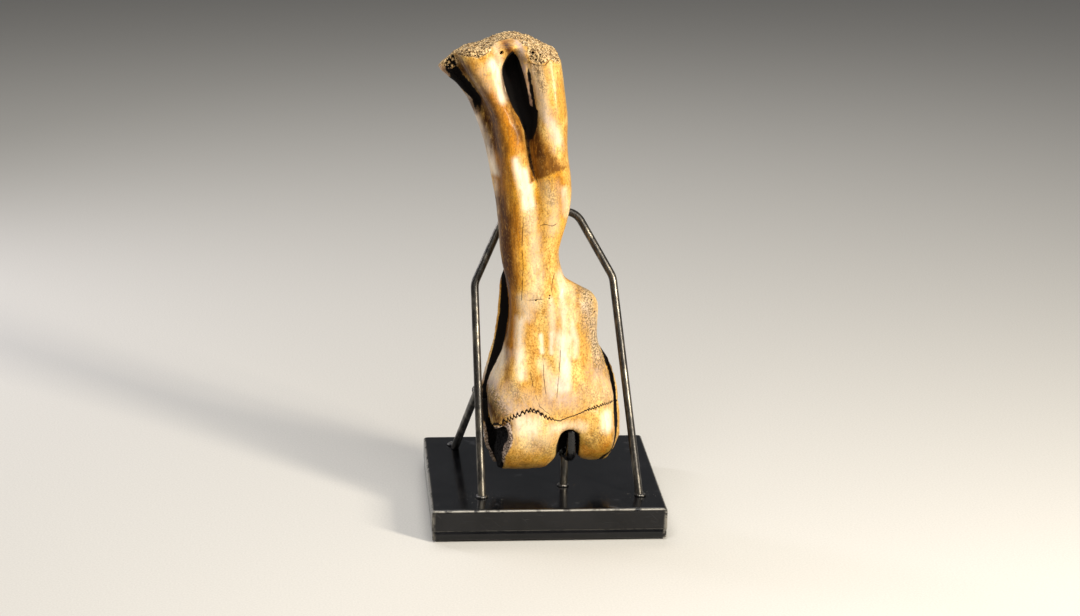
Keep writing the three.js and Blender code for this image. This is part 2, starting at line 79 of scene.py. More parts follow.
camera = bpy.data.objects.new("camera", bpy.data.cameras.new("camera"))
camera.data.lens = LENS_MM
camera.data.sensor_width = SENSOR_MM
camera.data.sensor_fit = "HORIZONTAL"
camera.data.clip_end = 60
camera.matrix_world = (
    Matrix.Translation(CAMERA_PLACE)
    @ Matrix.Rotation(-CAMERA_YAW, 4, "Z")
    @ Matrix.Rotation(math.pi / 2 - CAMERA_PITCH, 4, "X")
    @ Matrix.Rotation(CAMERA_ROLL, 4, "Z")
)
bpy.context.scene.collection.objects.link(camera)
bpy.context.scene.camera = camera
print("camera", tuple(round(v, 3) for v in CAMERA_PLACE), "lens", LENS_MM, "mm")

# %% [markdown]
# ## Small helpers
# Colours are written as the hex values that a paint chart gives, and one function turns them to
# the linear values that the shaders need. One function adds a node with its settings and links,
# and serves both materials and Geometry Nodes.

# %% Colour and node helpers
def linear(hex_colour):
    channels = [int(hex_colour[i:i + 2], 16) / 255 for i in (1, 3, 5)]
    return tuple(c / 12.92 if c <= 0.04045 else ((c + 0.055) / 1.055) ** 2.4 for c in channels) + (1.0,)


def add(tree, kind, links=None, **settings):
    """Adds one node. A link is another node's socket, or a plain value for the input."""
    node = tree.nodes.new(kind)
    for name, value in settings.items():
        setattr(node, name, value)
    for key, value in (links or {}).items():
        if isinstance(value, bpy.types.NodeSocket):
            tree.links.new(value, node.inputs[key])
        else:
            node.inputs[key].default_value = value
    return node


def new_material(name):
    """An empty material, with its principled shader already linked to the output."""
    material = bpy.data.materials.new(name)
    material.use_nodes = True
    tree = material.node_tree
    tree.nodes.clear()
    shader = add(tree, "ShaderNodeBsdfPrincipled")
    add(tree, "ShaderNodeOutputMaterial", {"Surface": shader.outputs[0]})
    return material, tree, shader


print("red in linear values:", [round(channel, 3) for channel in linear("#c03020")])

# %% Materials from coats
def coats(tree, where, colour, rows):
    """Lays colour on in coats, one a row, over the first colour.

    A row is the grain in millimetres (across, deep and tall), the noise at which the coat starts
    and is full, the most that it covers, the mask it stays inside and its hex colour. The result
    is the last colour and the noise of each coat.
    """
    grains = []
    for size, start, full, most, mask, tint in rows:
        links = {"Vector": where, "Scale": tuple(1 / (MM * length) for length in size)}
        links = {"Vector": add(tree, "ShaderNodeMapping", links).outputs[0], "Scale": 1.0}
        links |= {"Detail": 4.0, "Roughness": 0.62}
        grains.append(add(tree, "ShaderNodeTexNoise", links).outputs["Fac"])
        links = {0: grains[-1], 1: start, 2: full, 3: 0.0, 4: most}
        cover = add(tree, "ShaderNodeMapRange", links, interpolation_type="SMOOTHSTEP").outputs[0]
        if mask is not None:
            cover = add(tree, "ShaderNodeMath", {0: cover, 1: mask}, operation="MULTIPLY").outputs[0]
        links = {0: cover, 6: colour, 7: linear(tint)}
        colour = add(tree, "ShaderNodeMix", links, data_type="RGBA").outputs[2]
    return colour, grains


def coated(name, first, rows, gloss, relief=None):
    """A material of coats over a first colour. The coats are known by their row numbers.

    gloss is a roughness, or the coat whose noise sets it with the roughness at 0.3 and at 0.7.
    relief is the coats that are added up for the bump, its height in millimetres and its strength.
    """
    material, tree, shader = new_material(name)
    object_place = add(tree, "ShaderNodeTexCoord").outputs["Object"]
    colour, grains = coats(tree, object_place, linear(first), rows)
    tree.links.new(colour, shader.inputs["Base Color"])
    if isinstance(gloss, tuple):
        links = {0: grains[gloss[0]], 1: 0.3, 2: 0.7, 3: gloss[1], 4: gloss[2]}
        rough = add(tree, "ShaderNodeMapRange", links).outputs[0]
        tree.links.new(rough, shader.inputs["Roughness"])
    else:
        shader.inputs["Roughness"].default_value = gloss
    if relief:
        numbers, millimetres, strength = relief
        height = grains[numbers[0]]
        for number in numbers[1:]:
            links = {0: height, 1: grains[number]}
            height = add(tree, "ShaderNodeMath", links, operation="ADD").outputs[0]
        links = {"Height": height, "Distance": millimetres * MM, "Strength": strength}
        tree.links.new(add(tree, "ShaderNodeBump", links).outputs[0], shader.inputs["Normal"])
    return material, shader


print("a coat is a colour laid on through noise and inside a mask")

# %% A finished piece
def new_piece(name, mesh, material, body_slot, *nodes):
    """A finished piece: smooth shaded, riding on the one body, standing for its CAD nodes."""
    piece = bpy.data.objects.new(name, mesh)
    bpy.context.scene.collection.objects.link(piece)
    mesh.materials.clear()
    mesh.materials.append(material)
    mesh.shade_smooth()
    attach(piece, "root")
    if nodes:
        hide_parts(*nodes)
    print(f"{name}: {sum(len(p.vertices) - 2 for p in mesh.polygons)} triangles")


print("every piece rides on the body", "root")

# %% [markdown]
# ## Noise
# A bone's surface is uneven at every scale. Two kinds of noise cover all of it: soft blobs for
# swellings and stains, and scattered cells for pores. Both are worked out from the place alone,
# so that the result is the same each time.

# %% Noise
def scatter(cells, seed):
    """A number from 0 to 1 for each whole-numbered cell."""
    cells = cells.astype(np.int64).astype(np.uint32)
    mix = cells[..., 0] * np.uint32(0x8DA6B343) ^ cells[..., 1] * np.uint32(0xD8163841)
    mix ^= cells[..., 2] * np.uint32(0xCB1AB31F) ^ np.uint32(seed * 7919 + 17)
    mix = (mix ^ (mix >> np.uint32(15))) * np.uint32(0x2C1B3C6D)
    mix = (mix ^ (mix >> np.uint32(12))) * np.uint32(0x297A2D39)
    return (mix ^ (mix >> np.uint32(15))).astype(np.float64) / 2**32


def soft_noise(points, size, seed=0):
    """Smooth noise from -1 to 1, with blobs about `size` millimetres across, or one size an axis."""
    place = points / np.asarray(size, float)
    cell = np.floor(place)
    part = place - cell
    ease = part * part * (3 - 2 * part)
    total = np.zeros(len(points))
    for corner in product((0, 1), repeat=3):
        corner = np.array(corner)
        weight = np.prod(np.where(corner, ease, 1 - ease), axis=1)
        total += weight * scatter(cell + corner, seed)
    return 2 * total - 1


def layered_noise(points, size, layers=3, seed=0):
    total = sum(soft_noise(points, np.asarray(size) / 2**k, seed + k) / 2**k for k in range(layers))
    return total / (2 - 2 / 2**layers)


def cell_distance(points, size, seed=0):
    """Distance to the nearest of scattered points, one in each cell, in cell widths."""
    place = points / np.asarray(size, float)
    cell = np.floor(place)
    nearest = np.full(len(points), 9.0)
    for step in product((-1, 0, 1), repeat=3):
        near = cell + np.array(step)
        seeds = near + np.stack([scatter(near, seed + axis) for axis in range(3)], axis=1)
        nearest = np.minimum(nearest, np.linalg.norm(place - seeds, axis=1))
    return nearest


def ramp(value, low, high):
    """0 below low, 1 above high, with a smooth rise between them. low may be above high."""
    part = np.clip((value - low) / (high - low), 0, 1)
    return part * part * (3 - 2 * part)


def curve_at(x, rows):
    """The value at x of a curve that is given as rows of x and value."""
    return np.interp(x, *np.array(rows, float).T)


print("noise check:", soft_noise(np.array([[1.0, 2.0, 3.0]]), 5.0).round(4))

# %% [markdown]
# ## The bone's own frame
# The bone leans back on its stand. Everything on it is placed in the bone's own frame, in
# millimetres: x to the side, y to the back and s up the shaft from the lowest point of the
# condyles. A polyline in (x, s) is drawn on the bone's front, as a pencil line would be.

# %% Bone frame
BONE_FOOT = np.array([0.0, -70.0, 79.0])
LEAN = math.radians(6)
LEAN_TURN = np.array([
    [1, 0, 0],
    [0, math.cos(LEAN), -math.sin(LEAN)],
    [0, math.sin(LEAN), math.cos(LEAN)],
])


def to_bone(metres):
    return (metres / MM - BONE_FOOT) @ LEAN_TURN.T


def to_world(millimetres):
    return (millimetres @ LEAN_TURN + BONE_FOOT) * MM


def line_length(line):
    return sum(math.dist(start, end) for start, end in zip(line[:-1], line[1:]))


def along_line(flat, line):
    """For points (x, s): distance to a polyline, its sign by side, and the length gone along it."""
    line = np.asarray(line, float)
    best = np.full(len(flat), 1e9)
    side = np.ones(len(flat))
    gone = np.zeros(len(flat))
    start_length = 0.0
    for start, end in zip(line[:-1], line[1:]):
        run = end - start
        length = np.hypot(*run)
        part = ((flat - start) @ run) / length**2
        away = flat - (start + np.clip(part, 0, 1)[:, None] * run)
        distance = np.hypot(away[:, 0], away[:, 1])
        closer = distance < best
        best[closer] = distance[closer]
        turn = run[0] * (flat[:, 1] - start[1]) - run[1] * (flat[:, 0] - start[0])
        side[closer] = np.sign(turn[closer])
        gone[closer] = (start_length + part * length)[closer]
        start_length += length
    return best, side, gone


print("bone leans back by", round(math.degrees(LEAN), 1), "degrees")

# %% [markdown]
# ## Reading and writing a mesh as arrays
# Sculpting by hand would take a brush. Here each stroke is a formula on the mesh's points, read
# out as one array, moved along their normals and written back.

# %% Mesh arrays
def read_points(mesh):
    points = np.empty(len(mesh.vertices) * 3, np.float32)
    mesh.vertices.foreach_get("co", points)
    return points.reshape(-1, 3).astype(np.float64)


def write_points(mesh, points):
    mesh.vertices.foreach_set("co", points.astype(np.float32).ravel())
    mesh.update()


def read_normals(mesh):
    normals = np.empty(len(mesh.vertices) * 3, np.float32)
    mesh.vertex_normals.foreach_get("vector", normals)
    return normals.reshape(-1, 3).astype(np.float64)


def read_edges(mesh):
    edges = np.empty(len(mesh.edges) * 2, np.int32)
    mesh.edges.foreach_get("vertices", edges)
    return edges.reshape(-1, 2)


print("a mesh is read as points, normals and edges")

# %% Relaxing, modifiers and copies
def relax(points, edges, rounds, pull, weight=1.0):
    """Moves each point towards the middle of its neighbours, again and again."""
    count = len(points)
    degree = np.bincount(edges.ravel(), minlength=count)
    for _ in range(rounds):
        middle = np.empty_like(points)
        for axis in range(points.shape[1]):
            near = np.bincount(edges[:, 0], points[edges[:, 1], axis], count)
            near += np.bincount(edges[:, 1], points[edges[:, 0], axis], count)
            middle[:, axis] = near / degree
        points = points + np.reshape(pull * weight, (-1, 1)) * (middle - points)
    return points


def with_modifier(mesh, kind, **settings):
    """The mesh that one modifier makes of a mesh."""
    carrier = bpy.data.objects.new("carrier", mesh)
    bpy.context.scene.collection.objects.link(carrier)
    modifier = carrier.modifiers.new(kind, kind)
    for name, value in settings.items():
        setattr(modifier, name, value)
    graph = bpy.context.evaluated_depsgraph_get()
    made = bpy.data.meshes.new_from_object(carrier.evaluated_get(graph))
    bpy.data.objects.remove(carrier)
    return made


def merged_copy(node):
    """A copy of a CAD node's mesh with its loose triangles joined."""
    grid = bmesh.new()
    grid.from_mesh(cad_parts[node].data)
    bmesh.ops.remove_doubles(grid, verts=grid.verts, dist=1e-6)
    mesh = bpy.data.meshes.new(node + "_copy")
    grid.to_mesh(mesh)
    grid.free()
    return mesh


print("faces of the measured bone:", len(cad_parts["humerus"].data.polygons))

# %% [markdown]
# ## The bone, first pass: an even skin
# The measured bone is made of flat facets. A voxel remesh gives it an even skin of small squares.
# Relaxing then melts the facets and the creases between the masses, which grown bone has not got.
# The rim of the growth plate and the broken corner keep their edges, so they are left out of it.

# %% The plate and the break
SKIN = 2.3  # mm between the skin's points
MELT_ROUNDS = 30
GIVE_BACK = 0.85  # share of the melted-off ridges that is put back
PLATE_PEAK = (-52.0, 24.0, 655.5)
PLATE_LIP = (-128.0, 11.0, 25.0)  # where the inner end rises, how far and how wide
# How far forward the plate comes, as y at each x. In front of that the bone is smooth.
PLATE_FRONT = [
    (-165, -90), (-96, -90), (-88, -58), (-80, -28), (-58, -22), (-52, -29), (-45, -36),
    (-39, -60), (-32, -90),
]
ROUNDED_OVER = 6.5  # mm that the bone falls in front of the plate
BREAK_CENTRE = np.array([-103.0, -33.0, 24.0])
BREAK_HALF = np.array([44.0, 50.0, 49.0])
BREAK_TILT = -0.16
BREAK_TURN = 0.2
BREAK_SPREAD = 15.0  # mm that the condyle's broken side reaches inwards again at its foot
BREAK_DROP = 6.0  # mm that the bone above hangs lower at the inner edge


def plate_height(x, y):
    """Height of the growth plate: a low gable that also falls away to the front and back."""
    across = 0.545 * (x - PLATE_PEAK[0])
    deep = y - PLATE_PEAK[1]
    forward = 0.05 + 0.001 * (x - PLATE_PEAK[0])
    lip = PLATE_LIP[1] * np.exp(-(((x - PLATE_LIP[0]) / PLATE_LIP[2]) ** 2))
    return PLATE_PEAK[2] + lip - np.hypot(across, 12) + 12 - 0.0008 * deep**2 + forward * deep


def depth_below_plate(place):
    return plate_height(place[:, 0], place[:, 1]) - place[:, 2]


def break_spread(place):
    """How far the broken side is moved: sideways towards its foot, and down under its roof."""
    x, _, s = place.T
    sideways = BREAK_SPREAD * ramp(s, 64, 20) - 3
    down = BREAK_DROP * ramp(x, -58, -68) * ramp(s, 60, 68)
    return np.stack([sideways, np.zeros(len(place)), down], axis=1)


def outside_break(place):
    """Distance outside the block that is missing from the inner condyle, negative inside it."""
    turn = np.array(Matrix.Rotation(BREAK_TURN, 3, "Z") @ Matrix.Rotation(BREAK_TILT, 3, "Y"))
    local = np.abs((place + break_spread(place) - BREAK_CENTRE) @ turn) - BREAK_HALF
    outer = np.linalg.norm(np.maximum(local, 0), axis=1)
    return outer + np.minimum(local.max(axis=1), 0)


print("growth plate's peak:", PLATE_PEAK, "mm, broken block's centre:", BREAK_CENTRE, "mm")

# %% Remesh and relax
bone_mesh = with_modifier(
    merged_copy("humerus"), "REMESH", mode="VOXEL", voxel_size=SKIN * MM, adaptivity=0.0,
)
place = to_bone(read_points(bone_mesh))
edges = read_edges(bone_mesh)
x, y, s = place.T
by_break = ramp(x, -40, -57) * ramp(y, 16, 4) * ramp(s, 94, 78)
place -= by_break[:, None] * break_spread(place)
soft = ramp(np.abs(depth_below_plate(place)), 2, 9)
soft *= 0.12 + 0.88 * ramp(np.abs(outside_break(place)), 2, 8)
melted = relax(place, edges, MELT_ROUNDS, 0.5, soft)
melted_off = melted - relax(melted, edges, MELT_ROUNDS, 0.5, soft)
beside_groove = ramp(s, 395, 425) * ramp(np.abs(x + 40), 42, 30)
give_back = GIVE_BACK * ramp(y, -50, -30) * (1 - 0.75 * beside_groove)
place = melted + give_back[:, None] * melted_off
before_plate = curve_at(place[:, 0], PLATE_FRONT) - place[:, 1]
rounded = ramp(before_plate, 0, 22) * ramp(depth_below_plate(place), 16, 2)
place[:, 2] -= ROUNDED_OVER * rounded
place = relax(place, edges, 3, 0.4)
print("points of the skin:", len(place))

# %% Side ridges
# The thin ridges at both sides of the lower half are drawn back out to their measured edges. Each
# has its side, its depth, and rows of height and distance out from the middle.
SIDE_RIDGES = [
    (-1, 31, [(4, 80), (37, 90.5), (66, 92.5), (98, 94.5), (126, 95), (148, 91), (174, 83.5),
              (196, 77), (236, 71.5), (262, 69), (290, 68.5)]),
    (1, 24, [(9, 90), (25, 107.5), (47, 116), (79, 116), (98, 113.5), (123, 111.5), (152, 103.5),
             (180, 90)]),
]
x, y, s = place.T
for side, depth, edge_rows in SIDE_RIDGES:
    heights, targets = np.array(edge_rows, float).T
    on_ridge = np.exp(-(((y - depth) / 9) ** 2)) * ramp(side * x, 30, 60)
    on_ridge *= ramp(s, heights[0] - 6, heights[0] + 14)
    on_ridge *= ramp(s, heights[-1] + 8, heights[-1] - 16)
    levels = np.arange(heights[0] - 10, heights[-1] + 12, 4.0)
    near = np.abs(y - depth) < 7
    reach = [np.max(side * x[near & (np.abs(s - level) < 4)], initial=0.0) for level in levels]
    short = np.interp(s, heights, targets) - np.interp(s, levels, reach)
    place[:, 0] += side * on_ridge * np.clip(short, -2, 12)
write_points(bone_mesh, to_world(place))
print("bone skin:", len(bone_mesh.polygons), "faces")

# %% [markdown]
# ## The bone, second pass: swellings and hollows
# Under the varnish the bone has low ridges where muscles were tied and troughs where they slid.
# Each one is a soft-edged stroke along a line on the front: how far it rises in millimetres, how
# wide it is, and where it runs. Over all of it lies a slow unevenness, longer along the shaft.

# %% Forms on the front
MEDIAL_VALLEY = [
    (-142, 610), (-136, 599), (-128, 587), (-119, 575), (-110, 563), (-102, 550), (-94, 536),
    (-87, 521), (-80, 505), (-74, 486),
]
RIDGE_EDGE = [(-33, 516), (-32, 500), (-30, 484), (-27, 466), (-22, 448), (-14, 430), (-4, 412)]
STRIP_FURROW = [(-33, 615), (-31, 600), (-29, 588), (-27, 575), (-24, 562), (-22, 549), (-21, 530)]
FORMS = [
    (2.6, 15, [(-41, 222), (-44, 180), (-47, 132)]),
    (2.6, 19, [(17, 226), (25, 178), (27, 124)]),
    (-2.6, 11, [(-11, 216), (-9, 172), (-7, 122)]),
    (2.2, 11, [(-56, 492), (-48, 446), (-40, 408), (-28, 372)]),
    (-1.8, 8, [(-64, 452), (-58, 404), (-54, 344)]),
    (-6.0, 9, MEDIAL_VALLEY),
    (-3.0, 5, RIDGE_EDGE),
    (1.0, 8, [(x - 9, s) for x, s in RIDGE_EDGE]),
    (-4.5, 2.4, STRIP_FURROW),
    (1.6, 6, [(-158, 606), (-142, 583), (-124, 552), (-106, 512), (-93, 470)]),
    (2.0, 15, [(2, 560), (6, 520), (12, 480)]),
    (-1.4, 6, [(-68, 604), (-67, 578), (-62, 553), (-54, 530), (-46, 508)]),
    (-1.8, 10, [(-24, 420), (-14, 360), (-8, 312)]),
    (2.2, 20, [(-38, 70), (-22, 62)]),
    (2.0, 14, [(84, 72), (86, 62)]),
    (1.2, 9, [(-6, 150), (4, 128), (12, 108)]),
]
SWELL = 0.8  # mm, the slow unevenness
GRAIN_RELIEF = 0.12  # mm, the low ribs along the shaft
DIMPLE = 0.3  # mm, the small dents all over


def faces_front(normals, low=0.05, high=0.5):
    """1 where the surface looks forward, 0 at the sides and back."""
    return ramp(-(normals @ LEAN_TURN.T)[:, 1], low, high)


place = to_bone(read_points(bone_mesh))
normals = read_normals(bone_mesh) @ LEAN_TURN.T
front = faces_front(read_normals(bone_mesh))
rise = SWELL * layered_noise(place, (26, 26, 62), 3, 5)
rise += GRAIN_RELIEF * layered_noise(place, (5, 5, 80), 2, 11)
rise += DIMPLE * layered_noise(place, (11, 11, 17), 2, 13)
for height, width, line in FORMS:
    distance, _, gone = along_line(place[:, [0, 2]], line)
    length = line_length(line)
    runs_out = ramp(gone, length, 0.45 * length) if height < 0 else 1.0
    rise += front * height * runs_out * np.exp(-((distance / width) ** 2))
write_points(bone_mesh, to_world(place + rise[:, None] * normals))
print("forms on the front:", len(FORMS), "strokes, up to", round(float(rise.max()), 1), "mm high")

# %% [markdown]
# ## The bone, third pass: the rough places
# Four places are rough. The growth plate on top, where the upper end cap had not yet fused, is
# pitted. So is a patch in front of it, which fades out down the outer column. The lower end cap
# has a toothed seam, which is this young bone's other growth plate. And the inner corner is broken
# and shows the spongy inside. The skin's squares are split there first, so that pores and teeth
# can be cut as real shape.

# %% Where the rough places are
SEAM_FRONT = [
    (-92, 76), (-82, 75), (-73, 76), (-64, 83), (-51, 90), (-39, 96), (-26, 101), (-15, 97), (-1, 88),
    (17, 84), (37, 91), (57, 99), (74, 103), (98, 107),
]
SEAM_BACK = 99.0
PATCH = [(-24, 640), (-22, 626), (-15, 625), (-9, 634), (2, 640)]
PATCH_REACH = 11.0
BARK = [(-20, 612), (-13, 596), (-8, 580)]  # weathered bone below the patch
BARK_ROUGH = 0.5
TIP = np.array([-143.0, 614.0])
FORAMEN = (-72.0, 631.0)
PIT = (-27.0, 631.0)
SMALL_PITS = [(-19, 264), (1, 267), (2, 271), (66, 262), (70, 244)]
# Each hole's place, its radius and how deep it goes, in millimetres.
HOLES = [(FORAMEN, 3.3, 7.0), (PIT, 2.6, 3.0)] + [(spot, 1.5, 1.6) for spot in SMALL_PITS]
# How far below the plate its rough lip hangs at each x, in millimetres.
LIP_DROP = [
    (-165, 3), (-132, 5), (-121, 10), (-106, 11.5), (-96, 10), (-90, 6), (-84, 3), (-40, 2),
    (12, 3),
]
print("holes:", len(HOLES), "and a seam of", len(SEAM_FRONT), "points in front")

# %% Roughness of a place
def seam_height(place):
    x, y, _ = place.T
    ahead = curve_at(x, SEAM_FRONT)
    behind = SEAM_BACK + 4 * np.sin(x / 17)
    back = ramp(y, -18, 14)
    return ahead * (1 - back) + behind * back


def plate_roughness(place, up):
    """1 on the growth plate, its overhanging lip, the patch before it and the broken inner tip.

    The weathered strip below the patch is half as rough.
    """
    x, y, s = place.T
    under = depth_below_plate(place)
    ragged = 2.2 * layered_noise(place, 9, 3, 21)
    plate = ramp(under + ragged, 5.5, 2.5) * ramp(up, 0.15, 0.45)
    drop = curve_at(x, LIP_DROP)
    drop = drop * ramp(y, 0, -20) + 2.6 * ramp(y, -20, 0)
    lip = ramp(under + 1.1 * ragged, drop + 1.2, drop - 0.6)
    front_edge = curve_at(x, PLATE_FRONT)
    behind_edge = ramp(y + ragged, front_edge - 2.5, front_edge + 1.5)
    to_patch, _, _ = along_line(place[:, [0, 2]], PATCH)
    patch = ramp(to_patch + 1.6 * ragged, PATCH_REACH, PATCH_REACH - 2.5) * ramp(y, -20, -34)
    to_bark, _, _ = along_line(place[:, [0, 2]], BARK)
    bark = BARK_ROUGH * ramp(to_bark + 3 * ragged, 9, 5) * ramp(y, -20, -34)
    tip = np.hypot(x - TIP[0], 1.2 * (s - TIP[1]))
    tip = ramp(tip + 2 * ragged, 15, 9) * ramp(y, 30, 10)
    return np.maximum.reduce([plate * behind_edge, lip * behind_edge, patch, bark, tip])


def break_roughness(place):
    x, y, s = place.T
    ragged = 1.2 * layered_noise(place, 7, 2, 31)
    inside = (y < 32) & (s < 84) & (x < -48)
    return ramp(np.abs(outside_break(place)) + ragged, 4.2, 2.2) * inside


print("rough places: growth plate, patch and strip below it, seam and broken corner")

# %% Split the skin there
def near_points(place, spots, reach):
    flat = place[:, [0, 2]]
    return np.min([np.hypot(*(flat - np.array(spot)).T) for spot in spots], axis=0) < reach


def rough_places(place):
    x, y, s = place.T
    under = depth_below_plate(place)
    to_patch, _, _ = along_line(place[:, [0, 2]], PATCH)
    chosen = (under < 14) & (y < 0) | (under < 6)
    chosen |= (to_patch < PATCH_REACH + 3) & (y < -18)
    chosen |= np.hypot(x - TIP[0], s - TIP[1]) < 21
    chosen |= (np.abs(outside_break(place)) < 6) & (x < -46) & (s < 88)
    chosen |= np.abs(s - seam_height(place)) < 8
    return chosen | (near_points(place, SMALL_PITS + [FORAMEN], 8) & (y < -10))


def fine_places(place):
    y, s = place[:, 1], place[:, 2]
    chosen = (np.abs(s - seam_height(place)) < 4.6) & (y < 30)
    return chosen | (near_points(place, SMALL_PITS + [FORAMEN, PIT], 4.5) & (y < -10))


def split_squares(mesh, wanted):
    """Splits each face whose middle is in a wanted place into four."""
    grid = bmesh.new()
    grid.from_mesh(mesh)
    middles = np.array([face.calc_center_median() for face in grid.faces])
    chosen = wanted(to_bone(middles))
    cut = {edge for face, pick in zip(grid.faces, chosen) if pick for edge in face.edges}
    bmesh.ops.subdivide_edges(grid, edges=list(cut), cuts=1, use_grid_fill=True)
    bmesh.ops.triangulate(grid, faces=[face for face in grid.faces if len(face.verts) > 4])
    grid.to_mesh(mesh)
    grid.free()
    mesh.update()


split_squares(bone_mesh, rough_places)
split_squares(bone_mesh, fine_places)
print("bone skin after splitting:", len(bone_mesh.polygons), "faces")

# %% Relief of the rough places
place = to_bone(read_points(bone_mesh))
normals = read_normals(bone_mesh) @ LEAN_TURN.T
flat = place[:, [0, 2]]
x, y, s = place.T
rough = plate_roughness(place, normals[:, 2])
broken = break_roughness(place)

# Knobs and two sizes of pit. Each field of pits is kept only where a slower noise lets it be.
knobs = 2.0 * layered_noise(place, 11, 3, 41) + 0.6 * soft_noise(place, 3.0, 44)
big_pit = ramp(cell_distance(place, 7.6, 51), 0.42, 0.2) * ramp(soft_noise(place, 19, 52), -0.5, 0.1)
small_pit = ramp(cell_distance(place, 4.2, 54), 0.42, 0.18) * ramp(soft_noise(place, 12, 53), -0.3, 0.3)
# Under the overhanging lip the bone is a comb of holes.
comb = ramp(np.hypot(x + 133, 1.4 * (s - 628)) + 3 * knobs, 15, 8)
comb *= ramp(cell_distance(place, 3.9, 56), 0.46, 0.28) * ramp(y, 12, 0)
pit = np.maximum.reduce([big_pit, 0.85 * small_pit, comb])
relief = rough * (knobs - 2.6 * pit - 1.3)
sponge = ramp(cell_distance(place, 3.2, 61), 0.5, 0.2)
relief += broken * (1.6 * layered_noise(place, 11, 3, 62) - 1.7 * sponge)

# The toothed seam: teeth on the inner half, a hairline on the outer half, teeth again behind.
seam_offset = s - seam_height(place)
along = x + 0.8 * y
inner = ramp(x, 12, -4)
behind = ramp(y, -10, 15)
open_end = ramp(x, 46, 66) * (1 - behind)
toothed = np.maximum.reduce([inner, 0.7 * behind, 0.45 * open_end])
wander = soft_noise(place * (1, 0.6, 0), 9, 71)
teeth = np.sin(2 * math.pi * along / 5.2 + 3.4 * wander)
teeth = np.sign(teeth) * np.abs(teeth) ** 0.7
deep_teeth = 0.6 + 0.5 * soft_noise(place, 12, 74)
line = seam_offset + (0.3 + 2.6 * toothed * deep_teeth) * teeth + 0.8 * soft_noise(place, 14, 72)
cut_width = 0.95 + 0.95 * toothed
seam_cut = np.exp(-((line / cut_width) ** 2)) * (0.85 + 0.15 * toothed)
ticks = ramp(np.abs(np.sin(math.pi * along / 3.0 + 1.5 * wander)), 0.3, 0.05)
ticks *= ramp(np.abs(seam_offset), 4.2, 2.2) * toothed * ramp(soft_noise(place, 7, 73), -0.4, 0.2)
seam_reach = 4.6 + 3.2 * ramp(x, -46, -64)
seam_pits = ramp(cell_distance(place, 4.8, 75), 0.38, 0.2)
seam_pits *= ramp(np.abs(seam_offset), seam_reach, 0.45 * seam_reach)
seam_pits *= ramp(open_end + 0.8 * inner, 0.3, 0.6)
seam_cut = np.clip(np.maximum.reduce([seam_cut, 0.75 * ticks, 0.8 * seam_pits]), 0, 1)
seam_cut *= 1 - 0.8 * broken * ramp(x, -76, -68)
relief -= (1.1 + 1.1 * toothed) * seam_cut

holes = np.zeros(len(place))
for spot, radius, depth in HOLES:
    hole = ramp(np.hypot(*(flat - np.array(spot)).T), radius, 0.55 * radius) * (y < -8)
    relief -= depth * hole
    holes = np.maximum(holes, hole)

write_points(bone_mesh, to_world(place + relief[:, None] * normals))
print("relief from", round(float(relief.min()), 1), "to", round(float(relief.max()), 1), "mm")
